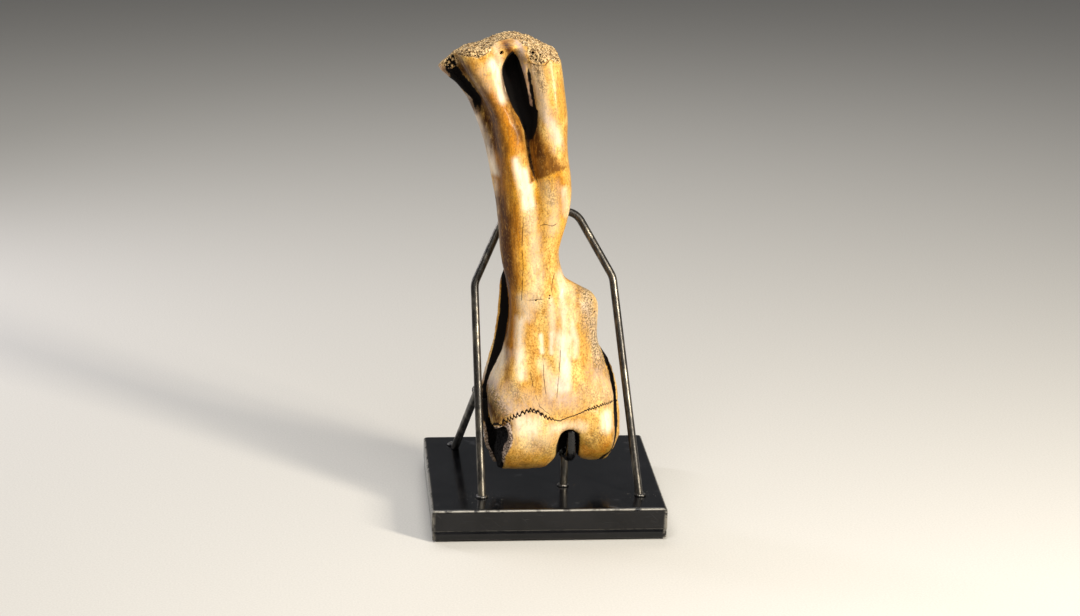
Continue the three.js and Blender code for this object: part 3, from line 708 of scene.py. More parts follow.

# %% [markdown]
# ## Stains and wear, painted highlights and painted shade, as masks
# A fossil takes its colour from the ground: iron turns it amber and umber, and where it was
# scrubbed the cream bone shows again. The cream and ash masks also hold painted highlights and
# sheen, and the umber mask holds painted shade where a side turns from the light. Each colour is
# one mask on the mesh, a number from 0 to 1 at each point. The front is painted with strokes. The
# sides and back, which have no strokes, get the same colours from soft noise that runs along the
# shaft. Painted shade, nearly black, fills the hollows, the groove, the side channels and the
# broken corner.

# %% Strokes of colour
# A stroke is its strength, its width in millimetres and its line on the front.
STROKES = {
    # cream: pale scrubbed bone, and painted highlights and rim light on bulges, ridges and edges
    "cream": [
        (0.95, 12, [(-84, 614), (-77, 604), (-73, 588), (-69, 566)]),
        (0.95, 8, [(-118, 562), (-106, 535), (-95, 512), (-86, 484), (-79, 452)]),
        (0.4, 8, [(-82, 641), (-77, 630), (-73, 616)]),
        (0.95, 9, [(-51, 474), (-45, 454), (-39, 430), (-35, 404)]),
        (0.85, 8, [(-37, 458), (-31, 436), (-27, 408)]),
        (0.35, 14, [(-2, 436), (6, 400), (6, 370)]),
        (0.4, 14, [(-30, 400), (-20, 330), (-19, 262)]),
        (0.2, 10, [(-2, 612), (2, 586)]),
        (0.6, 10, [(-2, 532), (8, 516), (11, 504)]),
        (0.5, 8, [(22, 430), (27, 392)]),
        (0.6, 11, [(20, 300), (21, 268), (23, 240), (27, 210)]),
        (0.3, 10, [(34, 280), (38, 236)]),
        (0.6, 7, [(34, 228), (41, 204), (40, 180)]),
        (0.5, 12, [(-38, 264), (-32, 240)]),
        (0.5, 9, [(4, 264), (5, 238), (6, 216)]),
        (0.5, 6, [(66, 290), (78, 262), (76, 232)]),
        (0.9, 9, [(-41, 234), (-42, 206), (-41, 183), (-41, 150)]),
        (1.0, 14, [(22, 206), (23, 180), (24, 152), (23, 138)]),
        (0.8, 4, [(-11, 211), (-9, 186)]),
        (0.8, 5, [(5, 213), (5, 186)]),
        (0.5, 12, [(-8, 168), (2, 146), (4, 126)]),
        (0.75, 20, [(-38, 82), (-26, 76)]),
        (0.95, 12, [(88, 88), (89, 72)]),
        (0.55, 12, [(8, 74), (30, 76), (50, 74)]),
        (0.2, 26, [(-50, 108), (0, 104), (60, 120), (92, 122)]),
        (0.3, 24, [(-44, 62), (-20, 50), (12, 66)]),
        (0.15, 18, [(70, 190), (84, 140), (92, 110)]),
        (0.5, 12, [(-22, 606), (-17, 584), (-12, 560), (-10, 540)]),
        (0.25, 14, [(-100, 604), (-92, 584)]),
        (0.5, 4, [(-78, 440), (-74, 400), (-73, 360), (-71, 320)]),
        (0.3, 14, [(58, 270), (66, 230), (76, 180)]),
        (1.0, 13, [(-66, 182), (-74, 166), (-81, 150), (-87, 136)]),
        (1.0, 4, [(-164, 611), (-152, 624), (-140, 633)]),
    ],
    "amber": [
        (1.0, 13, [(-54, 404), (-50, 372), (-54, 322), (-56, 286)]),
        (0.5, 10, [(-58, 450), (-54, 410)]),
        (0.9, 22, [(-84, 560), (-72, 532), (-62, 500), (-56, 476)]),
        (0.8, 20, [(-66, 546), (-58, 520), (-54, 502)]),
        (0.8, 10, [(-45, 532), (-42, 506), (-42, 488)]),
        (1.0, 14, [(-70, 470), (-67, 440), (-66, 400), (-60, 350), (-58, 300)]),
        (1.0, 10, [(-52, 300), (-52, 264), (-53, 232), (-55, 204), (-57, 182)]),
        (0.4, 8, [(-26, 232), (-22, 178), (-14, 128)]),
        (0.5, 9, [(-58, 176), (-60, 150), (-62, 134)]),
        (0.45, 14, [(-116, 614), (-104, 606), (-96, 590), (-88, 566)]),
        (0.45, 12, [(-4, 150), (2, 110)]),
        (0.3, 12, [(78, 134), (94, 116)]),
        (0.4, 14, [(-24, 410), (-16, 370), (-12, 336)]),
        (0.8, 11, [(14, 450), (19, 420), (18, 396)]),
        (0.45, 9, [(23, 520), (24, 484)]),
        (0.8, 9, [(-80, 500), (-77, 470), (-74, 440), (-72, 410)]),
        (0.25, 12, [(-18, 604), (-12, 570), (-8, 540)]),
        (0.4, 12, [(-84, 640), (-76, 620)]),
        (1.0, 9, [(-66, 644), (-59, 636), (-55, 622)]),
        (0.4, 12, [(-30, 264), (-24, 244)]),
        (1.0, 13, [(54, 44), (66, 32), (80, 28), (92, 38)]),
        (0.6, 10, [(-24, 476), (-20, 462)]),
        (0.7, 10, [(-48, 314), (-46, 288)]),
    ],
    "gold": [
        (1.0, 16, [(-60, 524), (-60, 480), (-58, 440), (-52, 400)]),
        (0.8, 16, [(-44, 380), (-42, 330), (-40, 290)]),
        (0.9, 13, [(14, 452), (18, 420), (18, 395), (16, 366)]),
        (0.7, 12, [(-26, 450), (-22, 410), (-18, 370), (-14, 330)]),
        (0.6, 16, [(-52, 300), (-50, 260), (-52, 220)]),
        (0.6, 10, [(-100, 606), (-90, 588), (-78, 566)]),
        (0.5, 14, [(-24, 30), (-10, 24)]),
        (0.5, 14, [(22, 350), (30, 320)]),
        (0.9, 18, [(0, 440), (4, 400), (4, 372)]),
    ],
    # umber: dark iron stain, and painted shade on sides and ridges turned from the light
    "umber": [
        (0.7, 7, [(-150, 602), (-140, 589), (-127, 571), (-114, 553), (-105, 538)]),
        (0.9, 13, [(-128, 608), (-118, 594), (-108, 579), (-98, 562), (-90, 548), (-84, 532)]),
        (1.0, 17, [(-98, 550), (-90, 535), (-84, 520), (-80, 504), (-77, 490)]),
        (0.5, 9, [(-72, 476), (-69, 440), (-68, 424)]),
        (1.0, 17, [(-70, 412), (-66, 390), (-64, 360), (-61, 330), (-59, 290)]),
        (1.0, 13, [(-23, 536), (-21, 514), (-19, 496), (-17, 480)]),
        (0.8, 8, [(-28, 530), (-25, 512), (-23, 496)]),
        (0.9, 4, RIDGE_EDGE),
        (0.45, 6, [(-40, 622), (-37, 606), (-34, 590)]),
        (0.6, 5, [(-29, 566), (-26, 546)]),
        (0.5, 3, [(4, 342), (7, 310), (3, 272)]),
        (0.9, 6, [(-59, 300), (-58, 264), (-58, 232), (-60, 206)]),
        (0.6, 6, [(-60, 200), (-61, 146)]),
        (0.4, 6, [(-18, 124), (-4, 106)]),
        (0.9, 10, [(-133, 620), (-127, 611), (-120, 600)]),
        (1.0, 17, [(-86, 102), (-78, 92), (-70, 82), (-64, 78)]),
        (0.85, 8, [(-67, 604), (-66, 580), (-59, 556), (-51, 532), (-42, 506)]),
        (0.7, 18, [(58, 66), (72, 58), (88, 46)]),
        (0.4, 8, [(62, 176), (70, 160)]),
        (0.8, 9, [(-30, 506), (-18, 490), (-8, 480)]),
        (0.35, 10, [(-92, 150), (-91, 124)]),
        (0.9, 12, [(50, 16), (66, 9), (82, 15), (94, 30)]),
        # painted shade along the outer ridge of the lower end
        (0.6, 5, [(111, 130), (115, 90), (113, 50), (104, 20)]),
        (0.3, 8, [(-30, 10), (-6, 16), (4, 28)]),
        (1.0, 8, [(-64, 642), (-60, 630), (-62, 616)]),
    ],
    "olive": [
        (0.5, 15, [(-58, 26), (-34, 20), (-6, 28)]),
        (0.65, 17, [(56, 270), (62, 236), (70, 200), (80, 160)]),
        (1.0, 20, [(52, 50), (66, 36), (78, 30), (94, 44)]),
        (0.4, 17, [(-4, 436), (5, 404), (2, 366)]),
        (0.4, 12, [(-52, 60), (-56, 36)]),
        (0.5, 12, [(-20, 60), (-8, 52)]),
    ],
    # ash: pinkish-grey leached bone, and painted sheen on the inner rim and the lower inner bulge
    "ash": [
        (1.0, 7, [(-47, 648), (-43, 634), (-40, 618), (-37, 598)]),
        (0.8, 5, [(-36, 598), (-32, 580), (-29, 562), (-27, 550)]),
        (0.6, 5, [(-152, 594), (-140, 577), (-128, 566), (-118, 556)]),
        (0.5, 8, [(-112, 556), (-100, 528), (-90, 503), (-82, 474)]),
        (0.9, 7, [(-160, 611), (-152, 606), (-144, 598)]),
        (0.35, 15, [(56, 276), (62, 250), (66, 222), (74, 196), (80, 164)]),
        (0.35, 11, [(-64, 184), (-70, 166), (-77, 150), (-84, 136)]),
        (0.5, 13, [(-4, 545), (4, 516), (10, 494)]),
        (0.9, 15, [(-82, 130), (-72, 112), (-60, 100)]),
        (0.6, 16, [(16, 142), (22, 118)]),
        (0.4, 20, [(-56, 130), (-38, 112)]),
        (0.3, 22, [(-10, 112), (30, 118)]),
        (0.4, 15, [(66, 158), (82, 140)]),
        (0.9, 10, [(-86, 40), (-76, 16)]),
    ],
    "grey": [
        (1.0, 18, [(53, 278), (62, 250), (64, 226), (70, 200), (78, 168)]),
        (0.6, 10, [(84, 176), (90, 150)]),
        (0.5, 11, [(-14, 270), (-6, 244)]),
        (1.0, 14, [(-82, 120), (-74, 104), (-66, 92)]),
        (0.6, 12, [(-52, 134), (-42, 118)]),
        (0.4, 14, [(50, 134), (70, 122)]),
        (0.4, 22, [(56, 112), (92, 116)]),
        (0.4, 8, [(-46, 634), (-42, 620)]),
        (0.6, 12, [(-20, 48), (8, 36)]),
        (0.6, 11, [(80, 62), (58, 46)]),
        (0.5, 12, [(-30, 400), (-34, 370)]),
        (0.7, 13, [(0, 442), (2, 414)]),
    ],
}
print("strokes:", {name: len(strokes) for name, strokes in STROKES.items()})

# %% Painted shade, dark patch and cracks
# Where a hollow gets painted shade: rows of height, left edge and right edge on the front.
GROOVE_SHADE = [
    (502, -31, -25), (512, -35, -22), (522, -40, -19), (535, -45, -17.5), (547, -53, -17),
    (553, -56, -28.5), (575, -64, -32), (599, -70, -38.5), (611, -70, -42), (623, -66, -47),
    (636, -58.5, -57.5),
]
MEDIAL_SHADE = [
    (60, -90.5, -83), (66, -97, -84), (83, -98, -85), (108, -98, -87), (118, -97, -88),
    (128, -91.5, -87), (141, -89, -83), (160, -84, -74), (180, -78.5, -65), (198, -74.5, -60.5),
    (218, -71, -57.5), (236, -68, -55), (254, -67, -55), (274, -66, -57.5), (290, -65.5, -60),
    (304, -65.5, -64),
]
VALLEY_SHADE = [
    (524, -98, -88), (541, -104, -90), (556, -113, -97), (567, -122, -103), (581, -136, -112),
    (590, -144, -119), (600, -151, -128), (607, -152, -134), (618, -148, -138), (624, -143, -139),
]
BROKEN_RIM = [(5, -72.5), (32, -82.5), (62, -88.5), (90, -91)]  # height and x of its edge
LATERAL_SHADE = [
    (4, 68, 84), (12, 76, 92), (25, 84, 103), (44, 96, 109.5), (66, 101, 111.5), (92, 101, 110),
    (123, 101, 107.5), (142, 98, 103.5), (164, 90, 96), (186, 83.5, 87.5),
]
# A dark brown patch on the outer column: it fades upwards and stops below at a sharp edge.
DARK_PATCH_TOP = [(-34, 526), (-20, 514), (-6, 500), (6, 486), (16, 475), (26, 466), (30, 463)]
DARK_PATCH_FOOT = [(-30, 438), (-20, 443), (-6, 450), (8, 457), (18, 460), (30, 464)]
CRACKS = [
    [(-39, 392), (-40, 350), (-38, 310), (-40, 262)],
    [(9, 305), (6, 292), (4, 276)],
    [(-27, 158), (-24, 141), (-19, 122), (-13, 106), (4, 92)],
    [(-9, 266), (-20, 265), (-32, 264)],
    [(12, 380), (4, 376), (-8, 379), (-14, 376)],
    [(-33, 626), (-31, 616), (-21, 613), (-9, 613), (1, 624), (6, 634)],
    [(-18, 608), (-19, 596), (-16, 586), (-9, 579), (-4, 577)],
    [(-30, 466), (-21, 450), (-16, 438)],
    [(18, 196), (16, 160), (12, 118)],
    [(-8, 184), (-7, 150), (-4, 124)],
]
CRACK_REACH = 6.0  # mm either side of a crack where its mask is kept
print("cracks drawn:", len(CRACKS))

# %% Masks of colour
place = to_bone(read_points(bone_mesh))
world_normals = read_normals(bone_mesh)
normals = world_normals @ LEAN_TURN.T
edges = read_edges(bone_mesh)
flat = place[:, [0, 2]]
x, deep, s = place.T
front = faces_front(world_normals, -0.35, 0.05)
wobble = layered_noise(place, (13, 13, 34), 3, 81)
fray = layered_noise(place, (4, 4, 22), 2, 84)

# Each stroke covers a share of what the strokes before it left bare. Its edge is frayed.
masks = {}
for number, (name, strokes) in enumerate(STROKES.items()):
    left = np.ones(len(place))
    for strength, width, line in strokes:
        distance, _, _ = along_line(flat, line)
        distance = distance + width * (0.35 * wobble + 0.2 * fray)
        left *= 1 - strength * front * ramp(distance, 1.25 * width, 0)
    drift = layered_noise(place, (30, 30, 150), 3, 90 + number)
    masks[name] = 1 - left * (1 - (1 - front) * ramp(drift, 0.05, 0.6))

# The dark patch adds to the umber and shade mask and to the amber, and takes the cream and highlight
# away. Below its foot the front has no umber or painted shade, except left of it.
over_foot = s - curve_at(x, DARK_PATCH_FOOT) + 2.5 * fray
under_top = curve_at(x, DARK_PATCH_TOP) - s + 10 * wobble + 4 * fray
looking = faces_front(world_normals, 0.0, 0.5) * ramp(x, -34, -24)
dark_patch = ramp(over_foot, -1.0, 1.5) * ramp(under_top, -8, 16) * looking
masks["umber"] = np.maximum(masks["umber"] * (1 - ramp(over_foot, 1, -2) * looking), 0.72 * dark_patch)
masks["amber"] = np.maximum(masks["amber"], 0.85 * dark_patch)
masks["cream"] *= 1 - dark_patch
print("painted masks:", ", ".join(masks))

# %% Painted shade in the hollows
MELTED_ROUNDS = 60


def between(place, rows, soft_edge=1.5):
    """1 between the left and right edges that the rows give, on the front and behind it."""
    x, _, s = place.T
    height, left, right = np.array(rows, float).T
    inside = ramp(x - np.interp(s, height, left), -soft_edge, soft_edge)
    inside *= ramp(np.interp(s, height, right) - x, -soft_edge, soft_edge)
    inside *= ramp(s, height[0] - 2, height[0] + 2)
    return inside * ramp(s, height[-1] + 2, height[-1] - 2)


# Painted shade in the upper hollows, the groove, the side channels and the valley. The bony struts
# that cross the broken inner tip are kept free of it.
melted = relax(place, edges, MELTED_ROUNDS, 0.5)
hollow_shade = ramp(np.einsum("ij,ij->i", melted - place, normals), 1.6, 5.0)
groove = between(place, GROOVE_SHADE) * ramp(deep, -52, -42) * ramp(deep, 30, 10)
medial = between(place, MEDIAL_SHADE, 0.8) * ramp(deep, -4, 6)
lateral = between(place, LATERAL_SHADE, 0.8) * ramp(deep, -34, -22)
channels = np.maximum(medial, lateral) * ramp(deep, 36, 30)
ragged = place + np.outer(5 * wobble + 2 * fray, (1, 0, 0.7))
valley = between(ragged, VALLEY_SHADE, 2.5) * ramp(ragged[:, 2], 526, 566) * ramp(deep, 34, 24)
struts = ramp(np.hypot(*(flat - TIP).T), 15, 8) * ramp(soft_noise(place, 2.6, 98), -0.1, 0.3)
dirt = np.maximum.reduce([hollow_shade, groove, channels, valley]) * (1 - 0.9 * struts)

# Painted shade in the furrow, the notch and the broken corner. The corner's rear rim is spongy bone
# and is kept free of it.
to_furrow, _, _ = along_line(flat, STRIP_FURROW)
furrow = ramp(to_furrow, 3.0, 1.2) * front * ramp(s, 616, 596)
notch = ramp(np.abs(x - 31), 20, 15) * ramp(s, 76, 70)
notch = 0.95 * notch * ramp(deep, -52, -40) * ramp(deep, 44, 30)
broken = break_roughness(place)
in_break = broken * ramp(deep + 6 * soft_noise(place, 9, 97), -44, -30)
under_break = ramp(x, -60, -65) * ramp(s, 66, 58) * (np.abs(deep - 16) < 20)
dirt = np.maximum.reduce([dirt, furrow, notch, in_break, under_break])
rear_rim = ramp(x + 2 * wobble - curve_at(s, BROKEN_RIM), 1.5, -1.5) * ramp(s, 74, 60)
rear_rim *= ramp(deep, 6, 14)
broken = np.maximum(broken, 0.9 * rear_rim * ramp(fray, -0.7, -0.2))
masks["dirt"] = np.maximum(dirt * (1 - rear_rim), holes)
masks["rough"] = np.maximum(plate_roughness(place, normals[:, 2]), broken)
masks["pit"] = pit * rough
masks["broken"] = broken
masks["seam"] = seam_cut
print("dirty share of the bone:", round(float(masks["dirt"].mean()), 3))

# %% Cracks
# A hairline is finer than the mesh, so the mesh keeps the distance to it, with a sign for the
# side, which runs evenly through zero. The material draws a thin line where it crosses zero.
crack_offset = np.full(len(place), 9.0)
crack_near = np.zeros(len(place))
for line in CRACKS:
    distance, side, gone = along_line(flat, line)
    length = line_length(line)
    closer = distance < np.abs(crack_offset)
    within = ramp(gone, -1, 3) * ramp(gone, length + 1, length - 3)
    near = within * ramp(distance, CRACK_REACH, CRACK_REACH - 2) * (front > 0.9)
    crack_offset[closer] = (side * distance)[closer]
    crack_near[closer] = near[closer]
masks["crack_offset"] = crack_offset + 0.5 * soft_noise(place, (3, 3, 6), 95)
masks["crack_near"] = crack_near

for name, values in masks.items():
    layer = bone_mesh.attributes.new(name, "FLOAT", "POINT")
    layer.data.foreach_set("value", values.astype(np.float32))
print("masks on the mesh:", ", ".join(masks))

# %% [markdown]
# ## Finish: mineralised bone, scrubbed and varnished
# Bone that has taken up iron and lime is hard, dense and slightly glassy. Long fibres run along
# the shaft and show as fine streaks. Pores are pinpricks filled with dark earth. A thin coat of
# varnish gives a soft gloss, which is lost on the rough growth plate and in the broken corner.

# %% Colours of the bone
# Each coat: grain in mm, noise where it starts and is full, most it covers, its mask, its colour.
# Real fibres and pores are finer; these are the finest that show.
BONE_COATS = [
    ((34, 34, 70), 0.40, 0.60, 1.0, None, "#ecc270"),
    ((13, 13, 24), 0.50, 0.66, 0.55, None, "#b87a1a"),
    ((5, 5, 50), 0.50, 0.68, 0.35, None, "#935c0f"),
    ((6, 6, 30), 0.15, 0.50, 0.85, "gold", "#dea01e"),
    ((4, 4, 26), 0.10, 0.46, 0.95, "amber", "#b4700c"),
    ((2.6, 2.6, 60), 0.48, 0.62, 0.50, "amber", "#6d4206"),
    ((16, 16, 16), 0.30, 0.62, 1.0, "olive", "#94742a"),
    ((3.0, 3.0, 4.0), 0.50, 0.62, 0.45, None, "#7c4a0e"),
    ((2.0, 2.0, 3.0), 0.50, 0.62, 0.50, None, "#6a400f"),
    # cream bone and painted highlights
    ((7, 7, 20), 0.12, 0.55, 0.80, "cream", "#f8ecd6"),
    # pinkish-grey bone and painted sheen
    ((8, 8, 12), 0.25, 0.60, 0.9, "ash", "#c4ada3"),
    # umber stain and painted shade
    ((6, 6, 16), 0.20, 0.50, 1.0, "umber", "#472504"),
    ((2.6, 2.6, 2.6), 0.44, 0.56, 0.85, "grey", "#5a4c30"),
    ((3.4, 3.4, 4.6), 0.46, 0.34, 0.16, None, "#eabb62"),
]
# The first coat lies on the raised grains of the plate's bump: a painted highlight on its knobs.
RAW_COATS = [
    ((2.6, 2.6, 2.6), 0.40, 0.55, 1.0, None, "#e6c48e"),
    ((17, 17, 17), 0.48, 0.66, 0.6, None, "#8a653c"),
    ((8, 8, 8), 0.56, 0.70, 0.6, None, "#f3e2bf"),
]
SPONGE_COATS = [
    ((1.9, 1.9, 1.9), 0.36, 0.60, 1.0, None, "#cdb6a4"),
    ((9, 9, 9), 0.50, 0.66, 0.7, None, "#6f5546"),
]
# Pores: cell in mm, distance from its middle where the pore starts and is full.
DRIFTING_PORES = (3.6, 0.17, 0.07)
GREY_PORES = (1.6, 0.26, 0.10)
RAW_PORES = (3.8, 0.43, 0.24)
print("coats:", len(BONE_COATS), "on the bone,", len(RAW_COATS), "on the plate")

# %% Bone material
bone_material, tree, shader = new_material("mineralised bone, varnished")
object_place = add(tree, "ShaderNodeTexCoord").outputs["Object"]
leaned = {"Vector": object_place, "Rotation": (LEAN, 0, 0)}
leaned = add(tree, "ShaderNodeMapping", leaned).outputs[0]
painted = {
    name: add(tree, "ShaderNodeAttribute", attribute_name=name).outputs["Fac"] for name in masks
}

rows = [row[:4] + (painted.get(row[4]), row[5]) for row in BONE_COATS]
colour, grains = coats(tree, leaned, linear("#d29e48"), rows)
mottle, streak, fleck = grains[1], grains[2], grains[7]
raw, (granule, _, _) = coats(tree, leaned, linear("#59391d"), RAW_COATS)
sponge, _ = coats(tree, leaned, linear("#43342a"), SPONGE_COATS)
links = {0: painted["broken"], 6: raw, 7: sponge}
raw = add(tree, "ShaderNodeMix", links, data_type="RGBA").outputs[2]
print("made", bone_material.name)

# %% Pores, pits and dark lines
pores = []
fields = [(mottle, 0.42, 0.6), (painted["grey"], 0.15, 0.7), (granule, 0.3, 0.45)]
for (cell, start, full), (field, low, high) in zip((DRIFTING_PORES, GREY_PORES, RAW_PORES), fields):
    links = {"Vector": leaned, "Scale": (1 / (MM * cell),) * 3}
    links = {"Vector": add(tree, "ShaderNodeMapping", links).outputs[0], "Scale": 1.0}
    distance = add(tree, "ShaderNodeTexVoronoi", links).outputs["Distance"]
    hole = {0: distance, 1: start, 2: full, 3: 0.0, 4: 1.0}
    hole = add(tree, "ShaderNodeMapRange", hole, interpolation_type="SMOOTHSTEP").outputs[0]
    where = {0: field, 1: low, 2: high, 3: 0.0, 4: 1.0}
    where = add(tree, "ShaderNodeMapRange", where, interpolation_type="SMOOTHSTEP").outputs[0]
    pores.append(add(tree, "ShaderNodeMath", {0: hole, 1: where}, operation="MULTIPLY").outputs[0])
pore = add(tree, "ShaderNodeMath", {0: pores[0], 1: pores[1]}, operation="MAXIMUM").outputs[0]
raw_pit = add(tree, "ShaderNodeMath", {0: pores[2], 1: painted["pit"]}, operation="MAXIMUM").outputs[0]
# The pits of the rough places are darkened: painted shade in the pits.
links = {0: raw_pit, 1: painted["rough"]}
pit_shade = add(tree, "ShaderNodeMath", links, operation="MULTIPLY").outputs[0]

crack = add(tree, "ShaderNodeMath", {0: painted["crack_offset"]}, operation="ABSOLUTE").outputs[0]
crack = {0: crack, 1: 0.8, 2: 0.25, 3: 0.0, 4: 0.85}
crack = add(tree, "ShaderNodeMapRange", crack, interpolation_type="SMOOTHSTEP").outputs[0]
links = {0: crack, 1: painted["crack_near"]}
crack = add(tree, "ShaderNodeMath", links, operation="MULTIPLY").outputs[0]
broken_line = {0: mottle, 1: 0.38, 2: 0.5, 3: 0.1, 4: 1.0}
broken_line = add(tree, "ShaderNodeMapRange", broken_line, interpolation_type="SMOOTHSTEP").outputs[0]
crack = add(tree, "ShaderNodeMath", {0: crack, 1: broken_line}, operation="MULTIPLY").outputs[0]
seam = {0: painted["seam"], 1: 0.25, 2: 0.6, 3: 0.0, 4: 1.0}
seam = add(tree, "ShaderNodeMapRange", seam, interpolation_type="SMOOTHSTEP").outputs[0]
# Painted shade: the hollow, groove and break mask, made uneven by the fleck noise.
shade_cover = {0: fleck, 1: 0.3, 2: 0.7, 3: -0.15, 4: 0.2}
shade_cover = add(tree, "ShaderNodeMapRange", shade_cover).outputs[0]
shade_cover = add(tree, "ShaderNodeMath", {0: painted["dirt"], 1: shade_cover}, operation="ADD").outputs[0]
shade_cover = {0: shade_cover, 1: 0.2, 2: 0.75, 3: 0.0, 4: 1.0}
shade_cover = add(tree, "ShaderNodeMapRange", shade_cover, interpolation_type="SMOOTHSTEP").outputs[0]
print("sizes of pore:", len(pores))

# %% What lies over what
OVERLAYS = [
    # where it lies, how strongly and its colour: the painted shade in hollows and pits is nearly black,
    # and so is a deep pore
    (pore, 0.85, linear("#2e1c0a")),
    (painted["rough"], 1.0, raw),
    (pit_shade, 0.92, linear("#1e130a")),
    (crack, 0.95, linear("#231407")),
    (seam, 1.0, linear("#160d05")),
    (shade_cover, 1.0, linear("#060302")),
]
for share, most, tint in OVERLAYS:
    share = add(tree, "ShaderNodeMath", {0: share, 1: most}, operation="MULTIPLY").outputs[0]
    links = {0: share, 6: colour, 7: tint}
    colour = add(tree, "ShaderNodeMix", links, data_type="RGBA").outputs[2]
tree.links.new(colour, shader.inputs["Base Color"])

dull = add(tree, "ShaderNodeMath", {0: painted["rough"], 1: shade_cover}, operation="MAXIMUM").outputs[0]
gloss = add(tree, "ShaderNodeMapRange", {0: mottle, 1: 0.3, 2: 0.7, 3: 0.26, 4: 0.42}).outputs[0]
links = {0: painted["amber"], 1: painted["umber"]}
stain_and_shade = add(tree, "ShaderNodeMath", links, operation="MAXIMUM").outputs[0]
gloss = add(tree, "ShaderNodeMix", {0: stain_and_shade, 2: gloss, 3: 0.58}, data_type="FLOAT").outputs[0]
roughness = add(tree, "ShaderNodeMix", {0: dull, 2: gloss, 3: 0.9}, data_type="FLOAT").outputs[0]
tree.links.new(roughness, shader.inputs["Roughness"])
shader.inputs["IOR"].default_value = 1.52
shader.inputs["Specular IOR Level"].default_value = 0.13
varnish = add(tree, "ShaderNodeMapRange", {0: dull, 3: 0.08, 4: 0.0}).outputs[0]
tree.links.new(varnish, shader.inputs["Coat Weight"])
shader.inputs["Coat Roughness"].default_value = 0.18
print("laid over the coats:", len(OVERLAYS), "kinds of hole, line and dirt")

# %% Fine relief
RELIEF = [(fleck, 0.16), (streak, 0.07), (mottle, 0.25), (pore, -0.25), (crack, -0.4)]  # mm
height = 0.0
for source, millimetres in RELIEF:
    links = {0: source, 1: millimetres, 2: height}
    height = add(tree, "ShaderNodeMath", links, operation="MULTIPLY_ADD").outputs[0]
raw_height = {0: raw_pit, 1: -0.9, 2: granule}
raw_height = add(tree, "ShaderNodeMath", raw_height, operation="MULTIPLY_ADD").outputs[0]
links = {0: raw_height, 1: painted["rough"], 2: height}
height = add(tree, "ShaderNodeMath", links, operation="MULTIPLY_ADD").outputs[0]
bump = add(tree, "ShaderNodeBump", {"Height": height, "Distance": MM, "Strength": 0.9})
tree.links.new(bump.outputs[0], shader.inputs["Normal"])

new_piece("fossil_humerus", bone_mesh, bone_material, "fossil_bone", "humerus")

# %% [markdown]
# ## The stand: round bar, bent and cut
# The stand is one hoop, a brace, a short post and a U-shaped saddle, all from 12 mm round bar.
# Each bar is a centre line swept with a circle by a Geometry Nodes tree. The line carries a
# `girth` at each point, so that hand-forged bar can vary a little and a sleeve's end can close.

# %% Helpers for trees
def new_tree(name, *inputs):
    """A Geometry Nodes tree with a geometry input, the named inputs given, and a geometry output."""
    tree = bpy.data.node_groups.new(name, "GeometryNodeTree")
    tree.interface.new_socket("Geometry", in_out="INPUT", socket_type="NodeSocketGeometry")
    for label, kind in inputs:
        tree.interface.new_socket(label, in_out="INPUT", socket_type="NodeSocket" + kind)
    tree.interface.new_socket("Geometry", in_out="OUTPUT", socket_type="NodeSocketGeometry")
    return tree, add(tree, "NodeGroupInput")


def end_tree(tree, source, geometry):
    """Realizes what was made, gives it its material and sends it out."""
    real = add(tree, "GeometryNodeRealizeInstances", {"Geometry": geometry}).outputs[0]
    links = {"Geometry": real, "Material": source.outputs["Material"]}
    painted = add(tree, "GeometryNodeSetMaterial", links).outputs[0]
    add(tree, "NodeGroupOutput", {"Geometry": painted})


def grown(name, mesh, tree, **values):
    """The mesh that a tree grows from a mesh, with the tree's inputs set by their names."""
    carrier = bpy.data.objects.new(name + "_carrier", mesh)
    bpy.context.scene.collection.objects.link(carrier)
    modifier = carrier.modifiers.new(tree.name, "NODES")
    modifier.node_group = tree
    sockets = {item.name: item.identifier for item in tree.interface.items_tree}
    for label, value in values.items():
        modifier[sockets[label]] = value
    graph = bpy.context.evaluated_depsgraph_get()
    made = bpy.data.meshes.new_from_object(carrier.evaluated_get(graph))
    made.name = name
    carrier.modifiers.remove(modifier)
    bpy.data.objects.remove(carrier)
    return made


def balls_on(tree, source, points, smooth, least, most):
    """Ends a tree with a ball on each point, each one stretched by its own random amounts."""
    ball = {"Radius": source.outputs["Size"], "Subdivisions": smooth}
    ball = add(tree, "GeometryNodeMeshIcoSphere", ball).outputs[0]
    spread = {"Seed": source.outputs["Seed"], "Min": least, "Max": most}
    spread = add(tree, "FunctionNodeRandomValue", spread, data_type="FLOAT_VECTOR").outputs[0]
    balls = {"Points": points, "Instance": ball, "Scale": spread}
    end_tree(tree, source, add(tree, "GeometryNodeInstanceOnPoints", balls).outputs[0])


print("a tree takes named inputs and gives a finished mesh")

# %% Trees for bars, beads and spatter
bar_tree, source = new_tree(
    "bar along a line", ("Radius", "Float"), ("Sides", "Int"), ("Material", "Material"),
)
curve = add(bar_tree, "GeometryNodeMeshToCurve", {"Mesh": source.outputs["Geometry"]}).outputs[0]
circle = {"Resolution": source.outputs["Sides"], "Radius": source.outputs["Radius"]}
profile = add(bar_tree, "GeometryNodeCurvePrimitiveCircle", circle).outputs[0]
girth = add(bar_tree, "GeometryNodeInputNamedAttribute", {"Name": "girth"}, data_type="FLOAT")
sweep = {"Curve": curve, "Profile Curve": profile, "Scale": girth.outputs[0], "Fill Caps": True}
end_tree(bar_tree, source, add(bar_tree, "GeometryNodeCurveToMesh", sweep).outputs[0])

bead_tree, source = new_tree(
    "ring of weld ripples", ("Ring", "Float"), ("Count", "Int"), ("Size", "Float"), ("Seed", "Int"),
    ("Material", "Material"),
)
ring = {"Vertices": source.outputs["Count"], "Radius": source.outputs["Ring"]}
ring = add(bead_tree, "GeometryNodeMeshCircle", ring).outputs[0]
balls_on(bead_tree, source, ring, 3, (0.85, 0.8, 0.75), (1.2, 1.15, 1.1))

